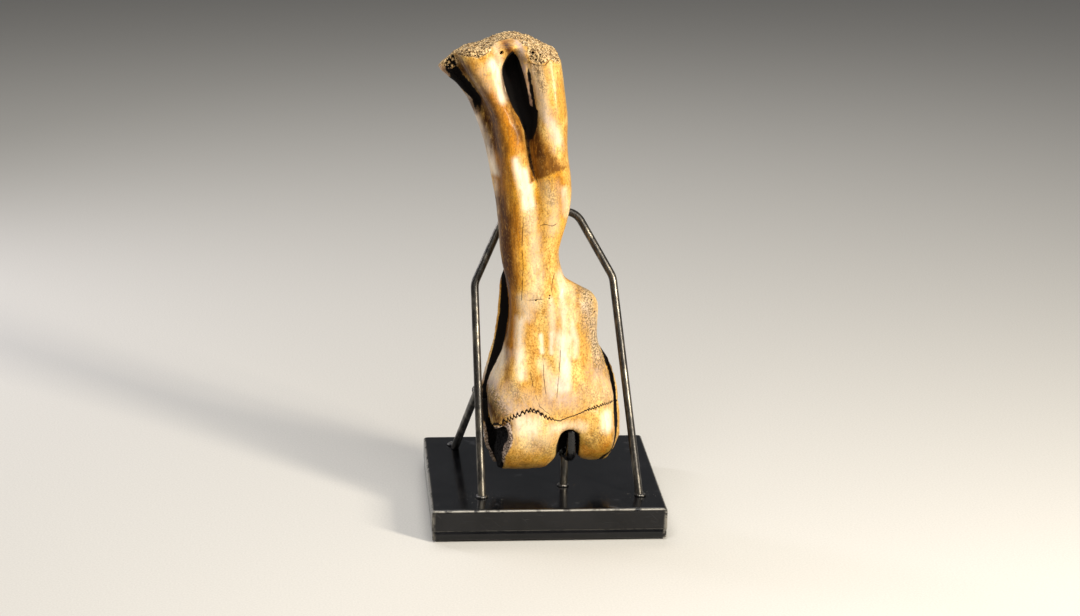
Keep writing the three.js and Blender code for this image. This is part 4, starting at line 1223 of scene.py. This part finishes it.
spatter_tree, source = new_tree(
    "weld spatter", ("Reach", "Float"), ("Density", "Float"), ("Size", "Float"), ("Seed", "Int"),
    ("Material", "Material"),
)
disc = {"Vertices": 32, "Radius": source.outputs["Reach"]}
disc = add(spatter_tree, "GeometryNodeMeshCircle", disc, fill_type="NGON").outputs[0]
strewn = {"Mesh": disc, "Density": source.outputs["Density"], "Seed": source.outputs["Seed"]}
strewn = add(spatter_tree, "GeometryNodeDistributePointsOnFaces", strewn).outputs[0]
here = add(spatter_tree, "GeometryNodeInputPosition").outputs[0]
length = add(spatter_tree, "ShaderNodeVectorMath", {0: here}, operation="LENGTH").outputs["Value"]
share = add(
    spatter_tree, "ShaderNodeMath", {0: length, 1: source.outputs["Reach"]}, operation="DIVIDE",
).outputs[0]
drawn_in = add(spatter_tree, "ShaderNodeVectorMath", {0: here, "Scale": share}, operation="SCALE")
links = {"Geometry": strewn, "Position": drawn_in.outputs[0]}
strewn = add(spatter_tree, "GeometryNodeSetPosition", links).outputs[0]
balls_on(spatter_tree, source, strewn, 2, (0.35, 0.35, 0.2), (1.1, 1.0, 0.7))
print("trees:", ", ".join(group.name for group in bpy.data.node_groups))

# %% [markdown]
# ## Centre lines
# A bend is drawn where two straight runs meet: the corner is cut back by the same length on both
# sides and a smooth arc joins the cuts. All lines are in millimetres in the shared frame.

# %% Sizes of the stand
BASE_TOP = 50.0
FOOT_Z = 50.3
SUNK = BASE_TOP - 12  # height where a leg's line starts, before its foot is cut flat
ROD_RADIUS = 6.0
SLEEVE_RADIUS = 7.8
STEP = 3.0  # mm between rings along a bar
BEND_RINGS = 1.6  # how much closer the rings are on a bend
FEWEST_RINGS = 8  # on a small bend
BAR_SIDES = 32
GIRTH_DRIFT = 0.006  # share by which a bar's girth wanders
FEET = {  # x and y where each bar meets the base, by the node of its weld
    "weld_left_leg": (-98, -117), "weld_right_leg": (140, -117), "weld_brace_foot": (-130, 130),
    "weld_post_foot": (28, -69),
}
left_foot, right_foot, brace_foot, post_foot = FEET.values()
HOOP_LEAN = 0.34  # mm that the hoop leans back for each mm up
LEFT_SHOULDER = (-106, 354)  # x and z of the hoop's corners
RIGHT_SHOULDER = (103, 362)
ARCH_Z = 456
ARCH_ENDS = (-57, 48)
HOOP_BENDS = (34, 30, 30, 34)
BRACE_TOP_Z = 204
FRONT_ARM = (36, -99)  # x and y of the saddle's arms
REAR_ARM = (24, -26)
FRONT_TIP_Z = 145.7
REAR_TIP_Z = 130.2
SADDLE_Z = 103.0
SADDLE_BEND = 17
print("bars meet the base at", FEET)

# %% Bending a bar
def bent_line(corners, radii):
    """Points along straight runs with a round bend at each corner between the ends."""
    corners = [np.array(corner, float) for corner in corners]
    start = corners[0]
    points = []
    for corner, last, following, radius in zip(corners[1:-1], corners, corners[2:], radii):
        inward = (last - corner) / np.linalg.norm(last - corner)
        onward = (following - corner) / np.linalg.norm(following - corner)
        setback = radius / math.tan(math.acos(float(inward @ onward)) / 2)
        enter, leave = corner + setback * inward, corner + setback * onward
        points += straight_line(start, enter)
        turns = max(int(2 * setback / STEP * BEND_RINGS), FEWEST_RINGS)
        for turn in np.linspace(0, 1, turns, endpoint=False):
            points.append((1 - turn) ** 2 * enter + 2 * turn * (1 - turn) * corner + turn**2 * leave)
        start = leave
    points += straight_line(start, corners[-1])
    return np.array(points + [corners[-1]])


def straight_line(start, end):
    steps = max(int(np.linalg.norm(end - start) / STEP), 1)
    return [start + (end - start) * step / steps for step in range(steps)]


def on_hoop(x, z):
    return np.array([x, left_foot[1] + HOOP_LEAN * (z - BASE_TOP), z])


print("arch of the hoop:", on_hoop(ARCH_ENDS[0], ARCH_Z), "to", on_hoop(ARCH_ENDS[1], ARCH_Z))

# %% Sweeping and cutting a bar
def line_mesh(points, girth):
    mesh = bpy.data.meshes.new("line")
    mesh.from_pydata(points * MM, [(i, i + 1) for i in range(len(points) - 1)], [])
    mesh.attributes.new("girth", "FLOAT", "POINT").data.foreach_set("value", girth.astype(np.float32))
    return mesh


def bar(name, points, radius, material, sides=BAR_SIDES, girth=None, flat_at=None):
    """A swept bar, uneven in girth as forged bar is, and cut flat at a height if one is given."""
    if girth is None:
        girth = 1 + GIRTH_DRIFT * layered_noise(points, 26, 2, 7)
    line = line_mesh(points, girth)
    mesh = grown(name, line, bar_tree, Radius=radius * MM, Sides=sides, Material=material)
    if flat_at is not None:
        cut_flat(mesh, flat_at)
    return mesh


def cut_flat(mesh, height):
    """Cuts away all below a height and closes the cut."""
    grid = bmesh.new()
    grid.from_mesh(mesh)
    grid.normal_update()
    everything = list(grid.verts) + list(grid.edges) + list(grid.faces)
    cut = bmesh.ops.bisect_plane(
        grid, geom=everything, plane_co=(0, 0, height * MM), plane_no=(0, 0, -1), clear_outer=True,
    )
    rim = [part for part in cut["geom_cut"] if isinstance(part, bmesh.types.BMEdge)]
    bmesh.ops.contextual_create(grid, geom=rim)
    bmesh.ops.recalc_face_normals(grid, faces=grid.faces)
    grid.to_mesh(mesh)
    grid.free()


print("a bar has a ring of", BAR_SIDES, "points every", STEP, "mm")

# %% Centre lines
hoop_corners = [
    (left_foot[0], SUNK), LEFT_SHOULDER, (ARCH_ENDS[0], ARCH_Z), (ARCH_ENDS[1], ARCH_Z),
    RIGHT_SHOULDER, (right_foot[0], SUNK),
]
hoop_line = bent_line([on_hoop(x, z) for x, z in hoop_corners], HOOP_BENDS)
left_leg_x = np.interp(BRACE_TOP_Z, *np.array([hoop_corners[0], LEFT_SHOULDER]).T[::-1])
brace_top = on_hoop(left_leg_x, BRACE_TOP_Z)
brace_line = np.array(straight_line(np.array([*brace_foot, SUNK]), brace_top) + [brace_top])
front_tip, front_bend = np.array([*FRONT_ARM, FRONT_TIP_Z]), np.array([*FRONT_ARM, SADDLE_Z])
rear_tip, rear_bend = np.array([*REAR_ARM, REAR_TIP_Z]), np.array([*REAR_ARM, SADDLE_Z])
saddle_line = bent_line([front_tip, front_bend, rear_bend, rear_tip], [SADDLE_BEND] * 2)
saddle_middle = (front_bend + rear_bend) / 2
post_line = np.array(straight_line(np.array([*post_foot, SUNK]), saddle_middle) + [saddle_middle])
print("hoop line:", len(hoop_line), "points")

# %% [markdown]
# ## Finish: hot-rolled bar, blackened and waxed
# The mill scale is a thin blue-black skin. Along the bar it is rubbed to grey steel in short
# patches, and fine draw marks run lengthwise. Wax leaves a satin sheen.

# %% Bar material and bars
BAR_COATS = [
    ((14, 14, 60), 0.44, 0.62, 1.0, None, "#7a7468"),
    ((5, 5, 5), 0.54, 0.68, 0.5, None, "#463a2e"),
    ((1.2, 1.2, 24), 0.52, 0.66, 0.3, None, "#96908a"),
]
bar_material, shader = coated(
    "mild steel bar, mill scale and wax", "#3b3936", BAR_COATS, (0, 0.46, 0.30), ((2, 1), 0.06, 0.6),
)
shader.inputs["Metallic"].default_value = 0.92
shader.inputs["Coat Weight"].default_value = 0.2
shader.inputs["Coat Roughness"].default_value = 0.3

BARS = {
    # piece: the node it stands for, its centre line and the height of its flat foot
    "hoop_bar": ("hoop", hoop_line, FOOT_Z),
    "brace_bar": ("rear_brace", brace_line, FOOT_Z),
    "post_bar": ("centre_post", post_line, FOOT_Z),
    "saddle_bar": ("saddle", saddle_line, None),
}
for name, (node, line, foot) in BARS.items():
    mesh = bar(name, line, ROD_RADIUS, bar_material, flat_at=foot)
    new_piece(name, mesh, bar_material, "dark_steel", node)

# %% [markdown]
# ## Finish: heat-shrunk sleeve, glossy black
# Where the bone touches the stand, the bar wears a shrunk-on sleeve. It follows the bar closely,
# closes to a dome over a bar's end and thins to a cut rim where it stops.

# %% Sleeve material
SLEEVE_COATS = [
    ((3.5, 3.5, 3.5), 0.50, 0.72, 0.6, None, "#1b1c20"),
    ((9, 9, 5), 0.56, 0.72, 0.3, None, "#121316"),
]
sleeve_material, shader = coated(
    "shrink sleeve, glossy black polyolefin", "#08080a", SLEEVE_COATS, (0, 0.14, 0.34),
    ((1,), 0.25, 0.7),
)
shader.inputs["IOR"].default_value = 1.5
print("made", sleeve_material.name)

# %% Sleeves
SLEEVE_REACH = 0.34  # how far along the level run each sleeve comes
SLEEVE_STEP = 0.7  # mm between a sleeve's rings
SLEEVE_SIDES = 40
CUT_RADIUS = 6.15  # mm, where a sleeve's cut rim meets the bar
CUT_LENGTH = 0.9  # mm over which a sleeve thins to its cut rim
HOOP_SLEEVE_ENDS = (-46, 10)  # x of its two ends, behind the shaft


def length_gone(points):
    """The length gone along a line at each of its points."""
    return np.concatenate([[0], np.cumsum(np.linalg.norm(np.diff(points, axis=0), axis=1))])


def finer(points, spacing):
    """The same line with even points at the given spacing."""
    gone = length_gone(points)
    marks = np.linspace(0, gone[-1], int(gone[-1] / spacing) + 1)
    return np.stack([np.interp(marks, gone, points[:, axis]) for axis in range(3)], axis=1)


def cut_rim(from_end):
    """Ring sizes that thin from the full sleeve to its cut rim at an open end."""
    return 1 - (1 - CUT_RADIUS / SLEEVE_RADIUS) * (1 - np.clip(from_end / CUT_LENGTH, 0, 1)) ** 2


def sleeve_girth(points, domed):
    """Ring sizes: a dome at the start if wanted, and a softened cut rim at each open end."""
    gone = length_gone(points)
    into = np.clip(1 - gone / SLEEVE_RADIUS, 0, 1)
    start = np.sqrt(np.clip(1 - into**2, 0.0004, 1)) if domed else cut_rim(gone)
    uneven = 1 + 0.008 * layered_noise(points, 8, 2, 9)
    return np.minimum(cut_rim(gone[-1] - gone), start) * uneven


def add_sleeve(name, line, domed):
    points = finer(line, SLEEVE_STEP)
    girth = sleeve_girth(points, domed)
    sleeve = bar(name, points, SLEEVE_RADIUS, sleeve_material, SLEEVE_SIDES, girth)
    new_piece(name + "_skin", sleeve, sleeve_material, "black_sleeve", name)


for name, tip, bend, onward in [
    ("saddle_sleeve_front", front_tip, front_bend, rear_bend),
    ("saddle_sleeve_rear", rear_tip, rear_bend, front_bend),
]:
    crown = tip + np.array([0, 0, SLEEVE_RADIUS])
    end = bend + SLEEVE_REACH * (onward - bend)
    add_sleeve(name, bent_line([crown, bend, end], [SADDLE_BEND]), True)
add_sleeve("hoop_sleeve", np.array([on_hoop(x, ARCH_Z) for x in HOOP_SLEEVE_ENDS]), False)

# %% [markdown]
# ## Weld beads and spatter
# A weld round a bar's foot is a chain of overlapping ripples. The ripples are grown on a ring and
# fused into one skin. Small drops of spatter have stuck to the base around the feet.

# %% Weld metal
WELD_COATS = [
    ((4, 4, 4), 0.40, 0.62, 1.0, None, "#8a8780"),
    ((4, 4, 4), 0.56, 0.70, 0.6, None, "#6b4a30"),
    ((0.9, 0.9, 0.9), 0.52, 0.64, 0.4, None, "#2e2d2e"),
]
weld_material, shader = coated(
    "weld steel, wire-brushed and waxed", "#3a3b40", WELD_COATS, (0, 0.25, 0.42), ((2,), 0.12, 0.7),
)
shader.inputs["Metallic"].default_value = 0.95
print("made", weld_material.name)

# %% Beads
WELD_SKIN = 0.4  # mm between the points of a bead's skin
RIPPLES = 15
RIPPLE_RADIUS = 2.5
FOOT_RING = 6.6  # mm from a leg's middle to the middle of its bead
JOIN_RING = 6.2
CORE_HEIGHT = 3.4  # the cone inside the ripples, which fills the gap to the bar
BEAD_LIFT = 1.4  # mm from a leg's foot up to the middle of its bead
JOIN_BACK = 5.4  # mm from a bar's end back to the middle of its bead


def weld_bead(name, centre, axis, seed, ring, node, flat_at=None):
    """Ripples on a ring across an axis, fused into one skin, and flat below where it sits.

    A low cone fills the ring, a little wider than it at the foot and narrower at the top.
    """
    empty = bpy.data.meshes.new("empty")
    mesh = grown(
        name, empty, bead_tree, Ring=ring * MM, Count=RIPPLES, Size=RIPPLE_RADIUS * MM, Seed=seed,
        Material=weld_material,
    )
    core = bmesh.new()
    core.from_mesh(mesh)
    bmesh.ops.create_cone(
        core, cap_ends=True, segments=40, radius1=(ring + 0.5) * MM, radius2=(ring - 1.2) * MM,
        depth=CORE_HEIGHT * MM,
    )
    core.to_mesh(mesh)
    core.free()
    turn = Vector(axis).to_track_quat("Z", "Y").to_matrix().to_4x4()
    mesh.transform(Matrix.Translation(Vector(centre) * MM) @ turn)
    mesh = with_modifier(mesh, "REMESH", mode="VOXEL", voxel_size=WELD_SKIN * MM, adaptivity=0.0)
    points = relax(read_points(mesh), read_edges(mesh), 3, 0.5)
    write_points(mesh, points)
    if flat_at is not None:
        cut_flat(mesh, flat_at)
    new_piece(name, mesh, weld_material, "weld_steel", node)


for seed, (node, (x, y)) in enumerate(FEET.items()):
    middle = (x, y, FOOT_Z + BEAD_LIFT)
    weld_bead(node + "_bead", middle, (0, 0, 1), seed, FOOT_RING, node, FOOT_Z)
for seed, (node, line) in enumerate([("weld_brace_top", brace_line), ("weld_saddle", post_line)]):
    back = line[0] - line[-1]
    back = back / np.linalg.norm(back)
    weld_bead(node + "_bead", line[-1] + JOIN_BACK * back, back, 11 + seed, JOIN_RING, node)

# %% Spatter
DROP_RADIUS = 0.55
DROP_HEIGHT = 0.12  # mm from the base up to the middle of a drop
# The foot it lies round, how far it reaches in mm, its drops in a square metre and its seed.
SPATTER = [(left_foot, 34, 30000.0, 21), (right_foot, 26, 16000.0, 22), (post_foot, 18, 9000.0, 23)]
drops = bmesh.new()
for foot, reach, density, seed in SPATTER:
    empty = bpy.data.meshes.new("empty")
    mesh = grown(
        "spatter", empty, spatter_tree, Reach=reach * MM, Density=density, Size=DROP_RADIUS * MM,
        Seed=seed, Material=weld_material,
    )
    mesh.transform(Matrix.Translation(Vector((*foot, BASE_TOP + DROP_HEIGHT)) * MM))
    drops.from_mesh(mesh)
mesh = bpy.data.meshes.new("weld_spatter")
drops.to_mesh(mesh)
drops.free()
new_piece("weld_spatter", mesh, weld_material, "weld_steel")

# %% [markdown]
# ## The base: a folded tray on a plinth
# Sheet steel is folded down on four sides over a block, with a felt pad below. Each skin is a
# stack of rounded squares. The folds and upright corners carry a `wear` mask, where handling has
# rubbed the enamel thin.

# %% Sizes of the base
HALF = 175.0  # half of the tray's side
FOLD = 5.0  # outer radius of the fold
SHEET = 3.0
TRAY_BOTTOM = 17.3
CORNER = 1.6
CORNER_REACH = 2.5  # mm on each side of an upright corner that is rubbed
CORNER_WEAR = (0.9, 0.45)  # on the corner that is held most, and on the others
FOLD_WEAR = (0.0, 0.0, 0.2, 0.75, 0.95, 0.5, 0.12, 0.0, 0.0)  # round the fold, from the side up
PLINTH_INSET = 0.8
PLINTH_LEVELS = [(1.0, 3.3), (0.0, 4.3), (0.0, 16), (1.0, 17)]  # how far in, and the height
PLINTH_CORNER = 1.5
FELT_INSET = 5.0
FELT_LEVELS = [(0.0, 0.0), (0.0, 2.6), (0.5, 3.0)]
FELT_CORNER = 2.0
print("tray:", 2 * HALF, "mm square, its top at", BASE_TOP, "mm")

# %% Skins of the base
def square_ring(half, corner, height, along=14, round_steps=6):
    """Points of a rounded square, anticlockwise from above."""
    corner = min(corner, half)
    points = []
    for turn in range(4):
        angle = turn * math.pi / 2
        for step in range(along):
            part = -math.cos(math.pi * step / along)  # closer together near the corners
            points.append((angle, half, part * (half - corner)))
        for step in range(round_steps):
            bend = step / round_steps * math.pi / 2
            out = half - corner + corner * math.cos(bend)
            side = half - corner + corner * math.sin(bend)
            points.append((angle, out, side))
    return [
        (out * math.cos(a) - side * math.sin(a), out * math.sin(a) + side * math.cos(a), height)
        for a, out, side in points
    ]


def ring_stack(name, rows):
    """A closed skin through rounded squares: half width, height, wear and corner radius each."""
    rings = [square_ring(half, corner, height) for half, height, _, corner in rows]
    count = len(rings[0])
    points = np.array([point for ring in rings for point in ring])
    faces = [tuple(range(count))[::-1]]
    for level in range(len(rings) - 1):
        for step in range(count):
            first = level * count + step
            second = level * count + (step + 1) % count
            faces.append((first, second, second + count, first + count))
    faces.append(tuple(range(len(points) - count, len(points))))
    mesh = bpy.data.meshes.new(name)
    mesh.from_pydata(points * MM, [], faces)
    wear = np.repeat([row[2] for row in rows], count)
    at_corner = np.min(np.abs(points[:, :2]), axis=1) > HALF - CORNER_REACH
    handled = (points[:, 0] > 0) & (points[:, 1] < 0)
    wear = np.maximum(wear, at_corner * np.where(handled, *CORNER_WEAR))
    mesh.attributes.new("wear", "FLOAT", "POINT").data.foreach_set("value", wear.astype(np.float32))
    mesh.update()
    return mesh


print("points in a ring of the tray:", len(square_ring(HALF, CORNER, BASE_TOP)))

# %% [markdown]
# ## Finish: black enamel, and felt below
# Enamel is almost black and so smooth that it mirrors the bars' feet. The coats are a slow change
# of depth, level and slanted scratches, dust and, where it is rubbed thin, bare grey steel. The
# felt is matt black wool, whose nap takes the light softly at the edge.

# %% Enamel and felt
ENAMEL_COATS = [
    ((60, 60, 60), 0.35, 0.65, 1.0, None, "#111113"),
    ((26, 26, 0.7), 0.66, 0.70, 0.8, None, "#38383a"),
    ((1.1, 1.1, 1.1), 0.68, 0.72, 0.5, None, "#6f6c65"),
    ((40, 40, 20), 0.60, 0.75, 0.4, None, "#1a1a1c"),
]
SLANTED_SCRATCHES = [((0.6, 30, 30), 0.66, 0.70, 0.8, None, "#38383a")]
SLANT = (0.5, 0.7, 0.4)
enamel, tree, shader = new_material("sheet steel, black enamel")
object_place = add(tree, "ShaderNodeTexCoord").outputs["Object"]
slanted = {"Vector": object_place, "Rotation": SLANT}
slanted = add(tree, "ShaderNodeMapping", slanted).outputs[0]
wear = add(tree, "ShaderNodeAttribute", attribute_name="wear").outputs["Fac"]
colour, grains = coats(tree, object_place, linear("#08080a"), ENAMEL_COATS)
colour, _ = coats(tree, slanted, colour, SLANTED_SCRATCHES)
bared = [((11, 11, 11), 0.32, 0.54, 0.85, wear, "#a39e94")]
colour, (handling,) = coats(tree, object_place, colour, bared)
tree.links.new(colour, shader.inputs["Base Color"])
bare = {0: handling, 1: 0.38, 2: 0.56, 3: 0.0, 4: 0.8}
bare = add(tree, "ShaderNodeMapRange", bare, interpolation_type="SMOOTHSTEP").outputs[0]
bare = add(tree, "ShaderNodeMath", {0: bare, 1: wear}, operation="MULTIPLY").outputs[0]
tree.links.new(bare, shader.inputs["Metallic"])
gloss = add(tree, "ShaderNodeMapRange", {0: grains[3], 1: 0.3, 2: 0.75, 3: 0.10, 4: 0.26}).outputs[0]
links = {0: bare, 1: 0.3, 2: gloss}
gloss = add(tree, "ShaderNodeMath", links, operation="MULTIPLY_ADD").outputs[0]
tree.links.new(gloss, shader.inputs["Roughness"])
shader.inputs["IOR"].default_value = 1.52
shader.inputs["Specular IOR Level"].default_value = 0.32
links = {"Height": grains[3], "Distance": 0.2 * MM, "Strength": 0.3}
tree.links.new(add(tree, "ShaderNodeBump", links).outputs[0], shader.inputs["Normal"])

felt_coats = [((0.9, 0.9, 0.9), 0.35, 0.65, 1.0, None, "#2a2928")]
felt_material, shader = coated("wool felt, black", "#0e0e0f", felt_coats, 0.95, ((0,), 0.3, 0.8))
shader.inputs["Sheen Weight"].default_value = 0.3
print("made", enamel.name, "and", felt_material.name)

# %% Tray, plinth and felt
rows = []  # half width, height, wear and corner radius of each ring
for half in (4, 60, 120, 160, 170):
    rows.append((half, BASE_TOP - SHEET, 0.0, 1.0))
rows += [(HALF - SHEET, BASE_TOP - SHEET, 0.0, 0.6), (HALF - SHEET, TRAY_BOTTOM, 0.1, 0.6)]
rows += [(HALF - 0.4, TRAY_BOTTOM, 0.3, CORNER), (HALF, TRAY_BOTTOM + 0.5, 0.25, CORNER)]
rows += [(HALF, height, 0.0, CORNER) for height in (18.6, 26, 34, 41, 44)]
for step, worn in enumerate(FOLD_WEAR):
    bend = step / (len(FOLD_WEAR) - 1) * math.pi / 2
    half = HALF - FOLD + FOLD * math.cos(bend)
    rows.append((half, BASE_TOP - FOLD + FOLD * math.sin(bend), worn, CORNER + 2 * math.sin(bend)))
for half in (167, 158, 140, 110, 70, 30, 4):
    rows.append((half, BASE_TOP, 0.0, 3.0))
tray = ring_stack("base_tray", rows)
new_piece("base_tray_skin", tray, enamel, "black_lacquer", "base_tray")

half = HALF - PLINTH_INSET
rows = [(half - inwards, height, 0.0, PLINTH_CORNER) for inwards, height in PLINTH_LEVELS]
plinth = ring_stack("base_plinth", rows)
new_piece("base_plinth_skin", plinth, enamel, "black_lacquer", "base_plinth")

half = HALF - FELT_INSET
rows = [(half - inwards, height, 0.0, FELT_CORNER) for inwards, height in FELT_LEVELS]
felt = ring_stack("base_felt", rows)
new_piece("base_felt_pad", felt, felt_material, "black_felt", "base_felt")

# %% [markdown]
# ## Floor, light and the size of the whole
# The model stands on a plain pale floor of matt paper, which shows soft shadows and no glare. A
# tall soft light stands in front at the right and gives the ridges and bars their long highlights.
# A weaker one stands behind at the left and draws the outline. Two broad ones hang above, before
# and behind, and fill the shadows. The size of the whole is written out beside the size of the
# measured model, so that the two can be compared.

# %% Floor
FLOOR_HALF = 9.0  # metres

paper_coats = [((3, 3, 3), 0.3, 0.7, 1.0, None, "#d2cfc9")]
floor_material, _ = coated("paper backdrop, matt", "#c9c6c0", paper_coats, 0.85)
corners = [(-1, -1, 0), (1, -1, 0), (1, 1, 0), (-1, 1, 0)]
mesh = bpy.data.meshes.new("floor")
mesh.from_pydata(np.array(corners) * FLOOR_HALF, [], [(0, 1, 2, 3)])
mesh.materials.append(floor_material)
floor = bpy.data.objects.new("floor", mesh)
bpy.context.scene.collection.objects.link(floor)
floor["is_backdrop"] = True
print("floor:", 2 * FLOOR_HALF, "m across")

# %% Lights
LIGHTS = {
    # name: place in metres, width, height, watts and colour
    "key, right": ((1.95, -2.05, 1.5), 0.4, 1.0, 120, "#fff6e6"),
    "strip, left": ((-1.85, 1.3, 1.1), 0.4, 1.2, 16, "#f2f0fa"),
    "overhead": ((-0.1, -1.5, 2.7), 2.2, 1.8, 60, "#fffdf8"),
    "behind": ((-0.5, 2.1, 3.3), 2.6, 1.6, 45, "#ffffff"),
}
LOOKED_AT = Vector((0, -0.05, 0.45))
ROOM_LIGHT = ("#d8dade", 0.16)  # colour and strength of the light from all around
for name, (spot, width, height, watts, tint) in LIGHTS.items():
    light = bpy.data.lights.new(name, "AREA")
    light.shape = "RECTANGLE"
    light.size, light.size_y = width, height
    light.energy = watts
    light.color = linear(tint)[:3]
    lamp = bpy.data.objects.new(name, light)
    bpy.context.scene.collection.objects.link(lamp)
    lamp.location = spot
    lamp.rotation_euler = (LOOKED_AT - Vector(spot)).to_track_quat("-Z", "Y").to_euler()

world = bpy.data.worlds.new("studio")
bpy.context.scene.world = world
world.use_nodes = True
background = world.node_tree.nodes["Background"]
background.inputs["Color"].default_value = linear(ROOM_LIGHT[0])
background.inputs["Strength"].default_value = ROOM_LIGHT[1]
bpy.context.scene.view_settings.view_transform = "Standard"
print("lights:", ", ".join(LIGHTS))

# %% Size and finish
made_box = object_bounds()
sizes = {
    "cad": [list(corner) for corner in cad_box],
    "visual": [list(corner) for corner in made_box],
}
for name, (low, high) in sizes.items():
    print(name, "box in mm:", [round(v / MM, 1) for v in low], [round(v / MM, 1) for v in high])
